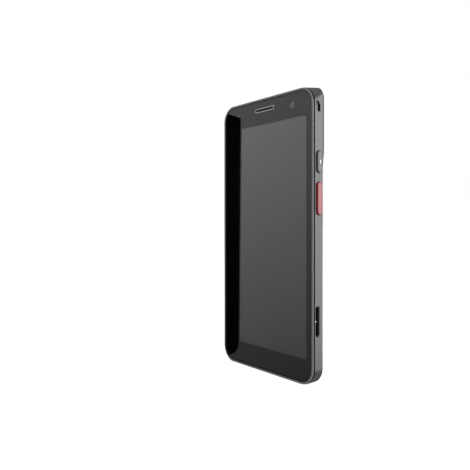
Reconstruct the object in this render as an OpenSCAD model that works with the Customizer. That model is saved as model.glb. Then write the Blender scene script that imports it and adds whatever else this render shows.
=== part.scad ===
// Handheld scanning computer: a slim glass-fronted body with a scanner bump behind its head,
// a latched battery in its back, and keys on both sides.
//
// The part stands on its bottom edge: +Z is up, the glass faces -Y and +X is the right-hand side.
// Inside the modules, y is the depth behind the front lip. set_down() centres that depth on the origin.

/* [Body] */
// Width across the side band
body_w = 73.5; // [70:0.5:90]
// Height from the bottom edge to the top edge
body_h = 153; // [148:1:185]
// Radius of the four corners, seen from the front
corner_r = 9; // [7:0.5:11]
// Radius of the top corners where the side band meets the rear cover
head_corner_r = 4.5; // [3.5:0.5:9]
// Depth from the front lip to the flat of the battery's back
battery_back = 12; // [12:0.1:15]
// How far the scanner bump stands behind the battery's back
bump_rise = 5; // [4:0.1:7]
// Depth of the parting line between the side band and the rear cover
split_depth = 7.2; // [7.2:0.1:8]
// Thickness of the side band's wall
band_wall = 2; // [1.8:0.1:2.4]
// Thickness of the rear cover and the battery cover
cover_wall = 1.3; // [1.1:0.1:1.6]
// Width of the curved shoulder beside the battery
battery_shoulder = 7.5; // [6:0.5:11]
// Width of the curved shoulder beside the scanner bump
bump_shoulder = 10.5; // [8:0.5:13]
// How far the battery's shoulder leans in for each step of depth, where it leaves the side band
battery_lean = 1; // [0.7:0.05:1.2]
// How far the bump's shoulder leans in for each step of depth, where it leaves the side band
bump_lean = 0.65; // [0.4:0.05:0.9]
// Radius that rounds the top and bottom edges of the back
end_round = 1.4; // [0.8:0.1:2]

/* [Front] */
// Width of the raised lip around the glass
lip_w = 1; // [0.8:0.1:1.4]
// Depth of the lip's ring
lip_d = 0.8; // [0.6:0.1:1]
// How far the lip stands back from the side of the band
lip_inset = 0.25; // [0.1:0.05:0.5]
// Gap between the lip and the glass
glass_gap = 0.1; // [0.05:0.05:0.2]
// How far the glass lies below the lip
glass_sunk = 0.3; // [0.1:0.05:0.5]
// Thickness of the cover glass
glass_t = 1; // [0.7:0.1:1.2]
// Thickness of the adhesive under the glass
adhesive_t = 0.1; // [0.05:0.05:0.2]
// Length of the bright trim round the earpiece slot
earpiece_l = 15.8; // [12:0.1:20]
// Height of the same trim
earpiece_w = 2.3; // [2:0.1:3.2]
// Width of the trim's metal
earpiece_rim = 0.5; // [0.4:0.05:0.8]
// Distance of the earpiece below the top edge
earpiece_drop = 6.6; // [6:0.1:8]

/* [Display] */
// Dark border at each side of the picture area
side_border = 5.5; // [5.5:0.1:9]
// Dark border above the picture area
top_border = 14.7; // [14:0.1:20]
// Dark border below the picture area
bottom_border = 13.4; // [12:0.1:18]
// Frame of the display panel round the picture area
panel_frame = 1.1; // [0.8:0.1:1.4]
// Thickness of the display panel
panel_t = 1.8; // [1.6:0.1:1.9]
// Thickness of the metal deck behind the display
deck_t = 1; // [0.8:0.1:1.1]

/* [Keys] */
// Width of every side key, front to back
key_w = 3.9; // [3.6:0.1:4.4]
// Depth of the keys' centre line
key_depth = 4.35; // [4.2:0.05:4.5]
// How far a key stands out of the band
key_proud = 0.9; // [0.6:0.1:1.2]
// Length of the scan keys
scan_key_l = 17; // [14:0.5:20]
// Distance of the scan keys' centre below the top edge
scan_key_drop = 57.4; // [55:0.1:60]
// Length of the power key
power_key_l = 11.5; // [10:0.5:13]
// Distance of the power key's centre below the top edge
power_key_drop = 38.8; // [38:0.1:41]
// Length of the volume rocker
volume_l = 14.6; // [12:0.1:16]
// Distance of the volume rocker's centre below the top edge
volume_drop = 37.2; // [36:0.1:39]
// Travel of the scan keys and the power key
key_travel = 0.4; // [0.3:0.05:0.5]

/* [Battery] */
// Height of the tail below the battery's seam
tail_h = 16.5; // [15:0.5:18]
// Distance from the top edge down to the battery's upper seam
head_h = 52.4; // [51:0.1:54]
// How far the battery cover's side seam stands inside the side of the band
seam_inset = 2; // [1.8:0.1:2.4]
// Depth at which the battery cover's flange begins
flange_depth = 8.6; // [8.5:0.1:9.2]
// Height of the ledge under each end of the battery cover
ledge_h = 6.4; // [5.5:0.1:7]
// Depth of the face of the battery case that meets the deck
case_depth = 5.05; // [5:0.05:5.4]
// Thickness of the battery case's walls
case_wall = 0.8; // [0.5:0.1:1]

/* [Latch] */
// Width of the latch's pocket
latch_w = 17; // [14:0.5:20]
// Height of the well in the rear cover above the battery
well_h = 6.5; // [5:0.1:8]
// Height of the latch tab
tab_h = 7.5; // [6:0.1:9]
// Height of the slot under the tab, which is the latch's room to move
latch_room = 2.5; // [2:0.1:3]
// Depth of the latch's pocket below the battery's back
pocket_d = 2.4; // [2.2:0.1:2.6]
// Width of the steel tongue
tongue_w = 9.6; // [7:0.2:10.5]
// Distance from the body's middle to the middle of the tongue
tongue_x = 3.3; // [2:0.1:3.4]
// Travel of the latch
latch_travel = 2.2; // [1.5:0.1:2.2]

/* [Rear details] */
// Length of the two strap slots in the bump
strap_slot_l = 18.8; // [16:0.1:20]
// Height of each strap slot
strap_slot_w = 3.3; // [3:0.1:3.5]
// Distance between the centres of the two strap slots
strap_pitch = 5.7; // [5.3:0.1:6.5]
// Distance of the upper strap slot below the top edge
strap_drop = 28.8; // [28:0.1:30]
// Depth of the strap tunnel behind the bar
strap_tunnel = 7.2; // [5:0.1:7.6]
// Thickness of the bar between the strap slots
strap_bar = 1.8; // [1.4:0.1:2.2]
// Length of the recess that holds the two contacts
contact_slot_l = 15.2; // [13:0.1:17]
// Distance of the contact recess below the top edge
contact_drop = 22.9; // [22:0.1:23.5]
// Radius of each round contact
contact_r = 1.4; // [1:0.1:1.45]
// Half the distance between the contacts
contact_x = 4.7; // [4:0.1:5.5]
// Width of the label's recess
label_w = 12.2; // [10:0.1:13]
// Height of the label's recess
label_h = 19.4; // [17:0.1:21]
// Distance of the label's centre to the side of the body's middle
label_x = 18.5; // [17:0.1:19]
// Length of the strap slot at the bottom edge
tail_slot_l = 15.6; // [13:0.1:18]
// Height of the strap slot at the bottom edge
tail_slot_w = 2.3; // [2:0.1:2.6]

/* [Scanner and camera] */
// Distance from the body's middle to the camera's axis
camera_x = 18; // [17:0.1:19]
// Distance of the camera's axis below the top edge
camera_drop = 20.3; // [20:0.1:21]
// Distance of the flash's axis below the top edge
flash_drop = 9.6; // [9:0.1:10]
// Radius of the camera's window
camera_r = 2.5; // [2:0.1:2.8]
// Radius of the flash's window
flash_r = 1.85; // [1.5:0.05:2.2]
// Width of the dark plate round the camera and the flash
camera_plate_w = 8.8; // [8:0.1:9.5]
// Height of the same plate
camera_plate_h = 21.2; // [20:0.1:22]
// Width of the scanner's window in the top edge
scan_window_w = 27; // [24:0.5:30]
// Front-to-back size of the scanner's window
scan_window_d = 5.8; // [5:0.1:6]
// Distance of the scanner's axis to the side of the body's middle
scan_x = 8; // [7:0.1:9]

/* [Fits] */
// Clearance round a key in its opening
key_fit = 0.15; // [0.1:0.05:0.2]
// Clearance round the battery in its bay and at its seams
seam_fit = 0.2; // [0.15:0.05:0.3]
// Clearance of parts that are dropped into a pocket
pocket_fit = 0.1; // [0.05:0.05:0.2]
// Running clearance on the volume rocker's pin
pin_fit = 0.05; // [0.03:0.01:0.08]

/* [Hidden] */
$fn = 48;
eps = 0.05;
half_w = body_w / 2;
bump_back = battery_back + bump_rise;

glass_w = body_w - 2 * (lip_inset + lip_w + glass_gap);
glass_h = body_h - 2 * (lip_inset + lip_w + glass_gap);
glass_r = corner_r - lip_inset - lip_w - glass_gap;
glass_back = glass_sunk + glass_t;
band_front = glass_back + adhesive_t;
earpiece_z = body_h - earpiece_drop;

panel_w = body_w - 2 * (side_border - panel_frame);
panel_z0 = bottom_border - panel_frame;
panel_z1 = body_h - top_border + panel_frame;
panel_front = glass_back + eps;
panel_back = panel_front + panel_t;
panel_cable_room = 4;
deck_front = panel_back + pocket_fit;
deck_back = deck_front + deck_t;
board_front = deck_back + 0.7;
board_t = 0.8;
board_back = board_front + board_t;

band_in = half_w - band_wall;
flange_t = 0.55;
flange_gap = 0.1;
flange_out = 0.45;
plunger_t = 0.25;
dome_t = 0.2;
switch_t = 0.4;
key_back = band_in - flange_gap - flange_t;
dome_front = key_back - plunger_t - key_travel - 0.05;
switch_in = dome_front - dome_t - switch_t;
key_pocket_x = switch_in - pocket_fit;
scan_key_z = body_h - scan_key_drop;
power_key_z = body_h - power_key_drop;
volume_z = body_h - volume_drop;
key_pocket_margin = 1.6;
rocker_pin_r = 0.4;
press_z = 5;
dome_clear = 0.3;
rocker_x = key_back + 0.1;

battery_z0 = tail_h;
battery_z1 = body_h - head_h;
case_z0 = battery_z0 + ledge_h + 0.8;
case_z1 = battery_z1 - ledge_h - 0.8;
case_w = 2 * (key_pocket_x - 0.5);
seam_x = half_w - seam_inset;
cover_in_depth = battery_back - cover_wall;
cell_top = cover_in_depth - 0.5;

latch_floor = battery_back - pocket_d;
tab_z1 = battery_z1 - 0.4;
tab_z0 = tab_z1 - tab_h;
pocket_z0 = tab_z0 - latch_room;
plate_t = 0.3;
tongue_t = 0.5;
tongue_depth = latch_floor + plate_t + 0.05;
tab_depth = tongue_depth + tongue_t;
well_z1 = battery_z1 + well_h;
post_w = 1.3;
post_h = 0.8;
post_z0 = tab_z0 + 0.8;
tenon = 0.55;
tenon_t = 0.6;
tenon_depth = tab_depth + 0.25;
tab_hollow_w = 1.5;
tab_hollow_back = battery_back - 0.3;
spring_wire = 0.09;
spring_r = 0.45;
spring_turns = 8;
spring_depth = (tab_depth + tab_hollow_back) / 2;
spring_z0 = post_z0 + post_h + 0.01;
spring_z1 = tab_z1 - 0.9;

strap_z = body_h - strap_drop;
strap_z2 = strap_z - strap_pitch;
strap_floor = bump_back - 1 - strap_tunnel;
clip_t = 0.4;
clip_strip_h = 1.5;
contact_z = body_h - contact_drop;
contact_floor = bump_back - 1.9;
contact_slot_w = 3;
label_z = body_h - 14.4;
label_recess = 0.25;
camera_z = body_h - camera_drop;
flash_z = body_h - flash_drop;
camera_plate_z = body_h - 14.8;
camera_plate_t = 0.7;
scan_depth = (split_depth + bump_back) / 2 - 0.55;
scan_window_t = 1;
tail_slot_z = 3;
tail_slot_d = 2.4;
bump_z0 = body_h - 51.3;
bump_z1 = body_h - 30.6;

port_l = 15.9;
port_w = 3;
port_depth = 3.25;
port_z = 33.2;
ball_r = 0.6;
ball_fit = 0.02;
ball_x = half_w - 0.75;
ball_depth = port_depth - port_w / 2 + 0.3;
lanyard_h = 5.7;
lanyard_w = 3;
lanyard_depth = 3.9;
lanyard_deep = 3.2;
lanyard_pin_r = 0.45;
lanyard_z = body_h - 10.7;
low_lanyard_z = 29;

usb_back = board_back + 3.25;
usb_d = 3.1;
usb_w = 8.9;
usb_h = 7.4;
usb_inset = 0.4;
speaker_x = 17;
speaker_l = 15;
speaker_hole_r = 0.6;
speaker_holes = 5;
speaker_pitch = 2.6;
mic_hole_r = 0.5;
screw_r = 0.8;
screw_head_r = 1.5;
screw_head_t = 0.9;
screw_xs = [-28, -13, 13, 28];
screw_z_top = battery_z1 - 2.8;
screw_z_bottom = battery_z0 + 3.2;
boss_r = 2.2;

rock_room = 0.25;
camera_housing = 2.8;
front_camera_x = 21.3;
front_camera_z = body_h - 7.7;
front_camera_r = 1.9;
status_x = -24;
status_z = body_h - 6.5;
status_r = 0.8;
glass_fit = 0.03;
engine_w = 22;
engine_h = 11.5;
engine_d = 5.4;
engine_z1 = body_h - 2.6;
head_board_z0 = battery_z1 + 2.4;
head_board_z1 = body_h - 4;
head_board_w = 2 * (half_w - lanyard_deep - 1.6);
shield_t = 1.2;
nfc_z = body_h - 13.3;
flex_gap = 0.05;
lower_board_z0 = band_wall + 0.5;
lower_board_z1 = battery_z0 - 0.6;
case_back = flange_depth;

// ---------- Helpers ----------

// Puts a piece whose y is the depth behind the lip into the part's own frame.
module set_down() {
    translate([0, -bump_back / 2, 0]) children();
}

// A box between two corners.
module block(x0, x1, y0, y1, z0, z1) {
    translate([x0, y0, z0]) cube([x1 - x0, y1 - y0, z1 - z0]);
}

module rounded_rect(w, h, r) {
    union() {
        square([w - 2 * r, h], center = true);
        square([w, h - 2 * r], center = true);
        for (sx = [-1, 1], sy = [-1, 1])
            translate([sx * (w / 2 - r), sy * (h / 2 - r)]) circle(r);
    }
}

module stadium(l, w) {
    union() {
        square([l - w, w], center = true);
        for (s = [-1, 1]) translate([s * (l - w) / 2, 0]) circle(w / 2);
    }
}

// Extrudes an outline drawn in x and z from depth y0 to depth y1.
module deep(y0, y1) {
    translate([0, y1, 0]) rotate([90, 0, 0]) linear_extrude(height = y1 - y0) children();
}

// Extrudes an outline drawn in y and z from x0 to x1.
module across(x0, x1) {
    translate([x0, 0, 0]) rotate([90, 0, 90]) linear_extrude(height = x1 - x0) children();
}

// A rounded plate that faces the front, centred on cx and cz.
module slab(w, h, r, y0, y1, cx = 0, cz = body_h / 2) {
    deep(y0, y1) translate([cx, cz]) rounded_rect(w, h, r);
}

// A rod along the depth.
module rod(r, y0, y1, cx, cz) {
    translate([cx, y1, cz]) rotate([90, 0, 0]) cylinder(h = y1 - y0, r = r);
}

// The body's outline, moved in by inset.
module outline(inset, y0, y1) {
    slab(body_w - 2 * inset, body_h - 2 * inset, corner_r - inset, y0, y1);
}

// An upright stadium on the right side, for keys and their openings.
module side_stadium(l, w, x0, x1, cy, cz) {
    across(x0, x1) translate([cy, cz]) rotate(90) stadium(l, w);
}

module on_left() {
    mirror([1, 0, 0]) children();
}

// ---------- Shape of the back ----------

// One curved shoulder: from the side at edge_y, leaning in by lean for each step of depth, to the flat at flat_y.
function shoulder(hw, edge_y, flat_y, run, lean, steps = 10) =
    let (deep = flat_y - edge_y, turn = lean * deep) [
        for (i = [0:steps]) let (t = i / steps)
            [hw - 2 * t * (1 - t) * turn - t * t * run, edge_y + deep * t * (2 - t)]
    ];

function mirrored(points) = [for (i = [len(points) - 1:-1:0]) [-points[i][0], points[i][1]]];

// How much of the bump is there at height z, from 0 at the battery to 1 behind the camera.
function bump_at(z) = let (t = min(1, max(0, (z - bump_z0) / (bump_z1 - bump_z0)))) t * t * (3 - 2 * t);

// Half the width at height z of the back's outline moved in by inset.
function half_width(z, inset) = let (
    r = (z > body_h / 2 ? head_corner_r : corner_r) - inset,
    over = max(0, inset + r - z, z - (body_h - inset - r))
) half_w - inset - r + sqrt(max(0, r * r - over * over));

// How far the back falls away at height z where the top and bottom edges are rounded.
function end_drop(z, inset) =
    let (r = max(0.2, end_round - inset), over = min(r, max(0, inset + r - z, z - (body_h - inset - r))))
        r - sqrt(max(0, r * r - over * over));

// The back's section at height z, from depth y0 on, moved in by inset.
function back_section(z, inset, y0) = let (
    run = battery_shoulder + (bump_shoulder - battery_shoulder) * bump_at(z),
    lean = battery_lean + (bump_lean - battery_lean) * bump_at(z),
    flat_y = battery_back + bump_rise * bump_at(z) - inset - end_drop(z, inset),
    hw = half_width(z, inset),
    curve = shoulder(hw, split_depth, flat_y, run, lean)
) y0 < split_depth
    ? concat([[hw, y0]], curve, mirrored(curve), [[-hw, y0]])
    : concat(curve, mirrored(curve));

// Heights at which the sections are taken: both rounded ends and the slope of the bump.
function back_heights(inset) = let (r = corner_r - inset, head_r = head_corner_r - inset) concat(
    [for (a = [0:10:90]) inset + r * (1 - cos(a))],
    [for (i = [0:14]) bump_z0 + (bump_z1 - bump_z0) * i / 14],
    [for (a = [90:-10:0]) body_h - inset - head_r * (1 - cos(a))]
);

// A closed solid over rings of points. Each ring runs anticlockwise when seen from the last one.
module skin_over(rings) {
    n = len(rings[0]);
    m = len(rings);
    points = [for (ring = rings, p = ring) p];
    skin = [for (i = [0:m - 2], k = [0:n - 1], half = [0, 1])
        let (a = i * n + k, b = i * n + (k + 1) % n)
            half == 0 ? [a, a + n, b + n] : [a, b + n, b]];
    ends = [[for (k = [0:n - 1]) k], [for (k = [n - 1:-1:0]) (m - 1) * n + k]];
    polyhedron(points, concat(skin, ends));
}

// The quarter circle of one corner round [x, z], from angle a0 on.
function corner_arc(x, z, r,
                    a0) = [for (i = [0:18]) let (a = a0 + 5 * i) [x + r * cos(a), z + r * sin(a)]];

// The side band's outline at depth y. Its top corners tighten towards the rear cover.
function band_ring(y) = let (
    r = corner_r + (head_corner_r - corner_r) * (y - band_front) / (split_depth - band_front),
    arcs = concat(
        corner_arc(half_w - r, body_h - r, r, 0), corner_arc(r - half_w, body_h - r, r, 90),
        corner_arc(corner_r - half_w, corner_r, corner_r, 180),
corner_arc(half_w - corner_r, corner_r, corner_r, 270)
    )
) [for (p = arcs) [p[0], y, p[1]]];

// Everything behind depth y0 inside the back's outer surface, moved in by inset.
module back_solid(inset, y0) {
    skin_over([for (z = back_heights(inset)) [for (p = back_section(z, inset, y0)) [p[0], p[1], z]]]);
}

// The same along the battery, where the section stays the same.
module battery_solid(inset, y0) {
    linear_extrude(height = body_h) polygon(back_section(battery_z1, inset, y0));
}

// ---------- Front ----------

module lip_ring(inset, y0, y1) {
    difference() {
        outline(inset, y0, y1);
        slab(glass_w + 2 * glass_gap, glass_h + 2 * glass_gap, glass_r + glass_gap, y0 - 1, y1 + 1);
    }
}

module front_bezel() {
    color("#4a4b4d") set_down() lip_ring(lip_inset, 0, lip_d);
}

module bezel_gasket() {
    color("#101010") set_down() lip_ring(lip_inset + 0.45, lip_d, band_front);
}

module glass_adhesive() {
    color("#151515") set_down() difference() {
        slab(glass_w - 0.6, glass_h - 0.6, glass_r - 0.3, glass_back, band_front);
        slab(panel_w + 1, panel_z1 - panel_z0 + panel_cable_room + 1, 1.5, glass_back - 1, band_front + 1,
             0, (panel_z0 - panel_cable_room + panel_z1) / 2);
        slab(earpiece_l, earpiece_w + 2, 1, glass_back - 1, band_front + 1, 0, earpiece_z);
        rod(2.4, glass_back - 1, band_front + 1, front_camera_x, front_camera_z);
        rod(1, glass_back - 1, band_front + 1, status_x, status_z);
    }
}

module earpiece_outline(grow) {
    stadium(earpiece_l + 2 * grow, earpiece_w + 2 * grow);
}

module cover_glass() {
    color("#1c1c1e") set_down() difference() {
        slab(glass_w, glass_h, glass_r, glass_sunk, glass_back);
        deep(glass_sunk - 1, glass_back + 1) translate([0, earpiece_z]) earpiece_outline(glass_fit);
    }
}

module lcd_panel() {
    color("#3a3a3c") set_down()
        slab(panel_w, panel_z1 - panel_z0, 0.8, panel_front, panel_back, 0, (panel_z0 + panel_z1) / 2);
}

module display_flex() {
    color("#b8742a") set_down() {
        block(5, 21, panel_back - 0.4, panel_back - 0.2, panel_z0 - 3.2, panel_z0 - 0.02);
        block(5, 21, panel_back - 0.2, board_front, panel_z0 - 3.2, panel_z0 - 3);
    }
}

module earpiece_trim() {
    color("#d8d8da") set_down() deep(glass_sunk - 0.1, glass_back) translate([0, earpiece_z])
        difference() {
        earpiece_outline(0);
        earpiece_outline(-earpiece_rim);
    }
}

module earpiece_mesh() {
    color("#050505") set_down() deep(glass_back - 0.4, glass_back) translate([0, earpiece_z])
        earpiece_outline(-earpiece_rim - 0.03);
}

module earpiece_speaker() {
    color("#8c8c90") set_down() slab(13, 5.8, 1, band_front + 0.1, deck_front - 0.05, 0, earpiece_z);
}

module front_camera() {
    color("#141418") set_down() {
        rod(front_camera_r, glass_back + 0.05, deck_back + 0.05, front_camera_x, front_camera_z);
        block(front_camera_x - camera_housing, front_camera_x + camera_housing, deck_back + 0.05,
              board_front - 0.02,
              front_camera_z - camera_housing, front_camera_z + camera_housing);
    }
}

module status_light() {
    color("#dfe6e8") set_down() rod(status_r, glass_back + 0.02, board_front - 0.02, status_x, status_z);
}

// ---------- Side band and deck ----------

// The way through the band for one key, with the pocket behind it.
module key_opening(l, z) {
    side_stadium(l + 2 * key_fit, key_w + 2 * key_fit, band_in - 1, half_w + 1, key_depth, z);
}

module key_pocket(z0, z1) {
    block(key_pocket_x, band_in + eps, band_front + 0.4, split_depth - 0.35, z0, z1);
}

// Outline of a lanyard recess in y and z: its rear upper corner is cut away.
module lanyard_outline() {
    w = lanyard_w / 2;
    h = lanyard_h / 2;
    polygon([[-w + 0.5, -h + 0.6], [w, -h], [w, h - 1.9], [w - 1.5, h], [-w + 0.7, h], [-w, h - 0.7],
             [-w, -h + 1.1]]);
}

module lanyard_recess(z) {
    across(half_w - lanyard_deep, half_w + 1) translate([lanyard_depth, z]) lanyard_outline();
}

module lanyard_block(z) {
    block(half_w - lanyard_deep - 1, band_in + eps, deck_back - eps, split_depth, z - lanyard_h / 2 - 1.2,
          z + lanyard_h / 2 + 1.2);
}

module pin_hole(z) {
    translate([half_w - 1.3, lanyard_depth, z - lanyard_h / 2 - 0.6])
        cylinder(h = lanyard_h + 1.2, r = lanyard_pin_r);
}

module port_pocket() {
    side_stadium(port_l, port_w, band_in - 2 + pocket_fit, half_w + 1, port_depth, port_z);
}

module usb_opening(grow) {
    translate([0, usb_back - usb_d / 2, -1]) linear_extrude(height = usb_h + 2)
        stadium(usb_w + 2 * grow, usb_d + 2 * grow);
}

module mid_frame() {
    color("#2a2b2d") set_down() difference() {
        union() {
            difference() {
                skin_over([band_ring(split_depth), band_ring(band_front)]);
                outline(band_wall, deck_back, split_depth + 1);
            }
            // Ribs that close the two ends of the battery bay.
            block(-band_in, band_in, deck_back - eps, split_depth, battery_z1 - 1.4, battery_z1);
            block(-band_in, band_in, deck_back - eps, split_depth, battery_z0, battery_z0 + 1.4);
            for (x = screw_xs) {
                rod(boss_r, deck_back - eps, split_depth, x, screw_z_top);
                rod(boss_r, deck_back - eps, split_depth, x, screw_z_bottom);
            }
            lanyard_block(lanyard_z);
            on_left() lanyard_block(lanyard_z);
            on_left() lanyard_block(low_lanyard_z);
            block(case_w / 2 + 0.2, band_in + eps, deck_back - eps, deck_back + 1.2,
                  port_z - port_l / 2 - 1, port_z + port_l / 2 + 1);
        }
        slab(panel_w + 2 * pocket_fit, panel_z1 - panel_z0 + panel_cable_room + pocket_fit, 1,
             band_front - 1, deck_front,
             0, (panel_z0 - panel_cable_room + panel_z1 + pocket_fit) / 2);
        block(4, 22, band_front - 1, deck_back + 1, panel_z0 - panel_cable_room, panel_z0 - 2.6);
        slab(13.4, 6.2, 1.2, band_front - 1, deck_front, 0, earpiece_z);
        rod(front_camera_r + pocket_fit, band_front - 1, deck_back + 1, front_camera_x, front_camera_z);
        rod(status_r + pocket_fit, band_front - 1, deck_back + 1, status_x, status_z);
        for (x = screw_xs) {
            rod(screw_r, deck_back - 0.4, split_depth + 1, x, screw_z_top);
            rod(screw_r, deck_back - 0.4, split_depth + 1, x, screw_z_bottom);
        }
        key_pocket(scan_key_z - scan_key_l / 2 - key_pocket_margin,
                   power_key_z + power_key_l / 2 + key_pocket_margin);
        key_opening(scan_key_l, scan_key_z);
        key_opening(power_key_l, power_key_z);
        on_left() {
            key_pocket(scan_key_z - scan_key_l / 2 - key_pocket_margin,
                       volume_z + volume_l / 2 + key_pocket_margin);
            key_opening(scan_key_l, scan_key_z);
            key_opening(volume_l, volume_z);
            translate([rocker_x, band_front, volume_z]) rotate([-90, 0, 0])
                cylinder(h = split_depth - band_front - 0.2, r = rocker_pin_r);
            lanyard_recess(lanyard_z);
            pin_hole(lanyard_z);
            lanyard_recess(low_lanyard_z);
            pin_hole(low_lanyard_z);
        }
        lanyard_recess(lanyard_z);
        pin_hole(lanyard_z);
        port_pocket();
        ball_seat();
        usb_opening(0.2);
        mic_channel();
    }
}

module mic_channel() {
    translate([-14, split_depth - 1.1, -1]) cylinder(h = band_wall + 2, r = mic_hole_r);
}

module lanyard_pins() {
    color("#9a9a9e") set_down() {
        pin_hole(lanyard_z);
        on_left() pin_hole(lanyard_z);
        on_left() pin_hole(low_lanyard_z);
    }
}

module side_port_insert() {
    color("#0a0a0a") set_down() difference() {
        side_stadium(port_l - 0.04, port_w - 0.04, band_in - 2 + pocket_fit, half_w - 0.35, port_depth,
                     port_z);
        side_stadium(port_l - 0.8, port_w - 0.8, band_in - 1.2, half_w + 1, port_depth, port_z);
        ball_seat();
    }
}

module side_port_contacts() {
    color("#c9a44a") set_down() for (i = [-2:2])
        block(band_in - 1.2, band_in - 1, port_depth - 0.6, port_depth + 0.6, port_z + 2.4 * i - 0.7,
              port_z + 2.4 * i + 0.7);
}

// The drilled seat that holds the ball at the port's front edge.
module ball_seat() {
    rod(ball_r + ball_fit, ball_depth - ball_r - ball_fit, port_depth, ball_x, port_z);
}

module detent_ball() {
    color("#e4e4e6") set_down() translate([ball_x, ball_depth, port_z]) sphere(ball_r);
}

// ---------- Keys ----------

// One key on the right side: cap, inner flange and plunger.
module key_solid(l, z) {
    side_stadium(l, key_w, band_in - flange_gap - eps, half_w + key_proud, key_depth, z);
    side_stadium(l + 2 * flange_out, key_w, key_back, band_in - flange_gap, key_depth, z);
    block(key_back - plunger_t, key_back + eps, key_depth - 1, key_depth + 1, z - 1, z + 1);
}

module scan_key_right() {
    color("#b3202c") set_down() key_solid(scan_key_l, scan_key_z);
}

module scan_key_left() {
    color("#b3202c") set_down() on_left() key_solid(scan_key_l, scan_key_z);
}

module power_key() {
    color("#2a2b2d") set_down() {
        key_solid(power_key_l, power_key_z);
        side_stadium(2.6, 1.5, half_w + key_proud - eps, half_w + key_proud + 0.1, key_depth,
                     power_key_z);
    }
}

module volume_rocker() {
    color("#2a2b2d") set_down() on_left() difference() {
        union() {
            side_stadium(volume_l - 0.2, key_w, band_in - 0.7, half_w + key_proud + 0.1, key_depth,
                         volume_z);
            side_stadium(volume_l + 2 * flange_out, key_w - 0.1, key_back,
                         band_in - flange_gap - rock_room, key_depth, volume_z);
            for (s = [-1, 1])
                block(dome_front + dome_clear, key_back + eps, key_depth - 1, key_depth + 1,
                      volume_z + s * press_z - 1, volume_z + s * press_z + 1);
        }
        translate([rocker_x, 0, volume_z]) rotate([-90, 0, 0])
            cylinder(h = split_depth, r = rocker_pin_r + pin_fit);
        block(key_back - 1, rocker_x, 0, split_depth, volume_z - rocker_pin_r - pin_fit,
              volume_z + rocker_pin_r + pin_fit);
    }
}

module rocker_pin() {
    color("#b0b0b4") set_down() on_left()
        translate([rocker_x, band_front, volume_z]) rotate([-90, 0, 0])
            cylinder(h = split_depth - band_front - 0.2, r = rocker_pin_r);
}

// A strip that carries one dome switch behind each press point.
module switch_board(points, z0, z1) {
    block(switch_in, switch_in + switch_t, key_depth - 2, key_depth + 2, z0, z1);
    for (z = points)
        translate([switch_in + switch_t, key_depth, z]) rotate([0, 90, 0]) cylinder(h = dome_t, r = 1.6);
}

module switch_board_right() {
    color("#2f6b3a") set_down()
        switch_board([scan_key_z, power_key_z], scan_key_z - 6, power_key_z + 5);
}

module switch_board_left() {
    color("#2f6b3a") set_down() on_left()
        switch_board([scan_key_z, volume_z - press_z, volume_z + press_z], scan_key_z - 6,
                     volume_z + press_z + 2);
}

// ---------- Rear cover ----------

// The room inside the head, with a wall kept above the battery.
module head_hollow() {
    intersection() {
        back_solid(cover_wall, split_depth - 1);
        block(-half_w, half_w, split_depth - 1, bump_back, battery_z1 + 1.3, body_h);
    }
}

module tail_hollow() {
    intersection() {
        back_solid(cover_wall, split_depth - 1);
        block(-half_w, half_w, split_depth - 1, battery_back, 0, battery_z0 - 1.2);
    }
}

// Solid housings inside the cover round the strap tunnel, the contacts, the latch well and the tail's strap slot.
module cover_blocks() {
    intersection() {
        back_solid(0.3, split_depth);
        union() {
            block(-strap_slot_l / 2 - 1.2, strap_slot_l / 2 + 1.2, strap_floor - 1, bump_back,
                  strap_z2 - strap_slot_w / 2 - 1.2, strap_z + strap_slot_w / 2 + 1.2);
            block(-contact_slot_l / 2 - 0.8, contact_slot_l / 2 + 0.8, contact_floor - 1.1, bump_back,
                  contact_z - contact_slot_w / 2 - 0.8, contact_z + contact_slot_w / 2 + 0.8);
            block(-latch_w / 2 - 1.2, latch_w / 2 + 1.2, split_depth, bump_back, battery_z1,
                  well_z1 + 1.2);
            block(-tail_slot_l / 2 - 1, tail_slot_l / 2 + 1, battery_back - tail_slot_d - 0.55,
                  battery_back,
                  0, tail_slot_z + tail_slot_w / 2 + 1);
        }
    }
}

// The battery's bay: a window for its case, and ledges and rails that its cover rests on.
module battery_opening() {
    block(-seam_x, seam_x, flange_depth - pocket_fit, bump_back, battery_z0, battery_z1);
    block(-case_w / 2 - 1.6, case_w / 2 + 1.6, split_depth - 1, flange_depth, battery_z0 + ledge_h,
          battery_z1 - ledge_h);
}

module strap_cuts() {
    for (z = [strap_z, strap_z2])
        slab(strap_slot_l, strap_slot_w, 0.8, strap_floor, bump_back + 1, 0, z);
    block(-strap_slot_l / 2 + 0.8, strap_slot_l / 2 - 0.8, strap_floor, bump_back - 1 - strap_bar,
          strap_z2, strap_z);
}

module tail_strap_cuts() {
    slab(tail_slot_l, tail_slot_w, tail_slot_w / 2 - 0.05, battery_back - tail_slot_d, battery_back + 1,
         0, tail_slot_z);
    block(-tail_slot_l / 2 + 1.2, tail_slot_l / 2 - 1.2, battery_back - tail_slot_d,
          battery_back - tail_slot_d + 1.1, -1, tail_slot_z);
}

module camera_cuts() {
    slab(camera_plate_w, camera_plate_h, 2, bump_back - camera_plate_t, bump_back + 1, camera_x,
         camera_plate_z);
    rod(camera_r + 0.6, split_depth, bump_back, camera_x, camera_z);
    rod(flash_r + 0.5, split_depth, bump_back, camera_x, flash_z);
}

module speaker_cuts() {
    for (i = [0:speaker_holes - 1])
        translate([speaker_x + (i - (speaker_holes - 1) / 2) * speaker_pitch, split_depth + 1.6, -1])
            cylinder(h = cover_wall + 2, r = speaker_hole_r);
}

// Outline of the scanner's window in x and y.
module window_outline(grow) {
    translate([-scan_x, scan_depth])
        rounded_rect(scan_window_w + 2 * grow, scan_window_d + 2 * grow, 1.6 + grow);
}

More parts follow.
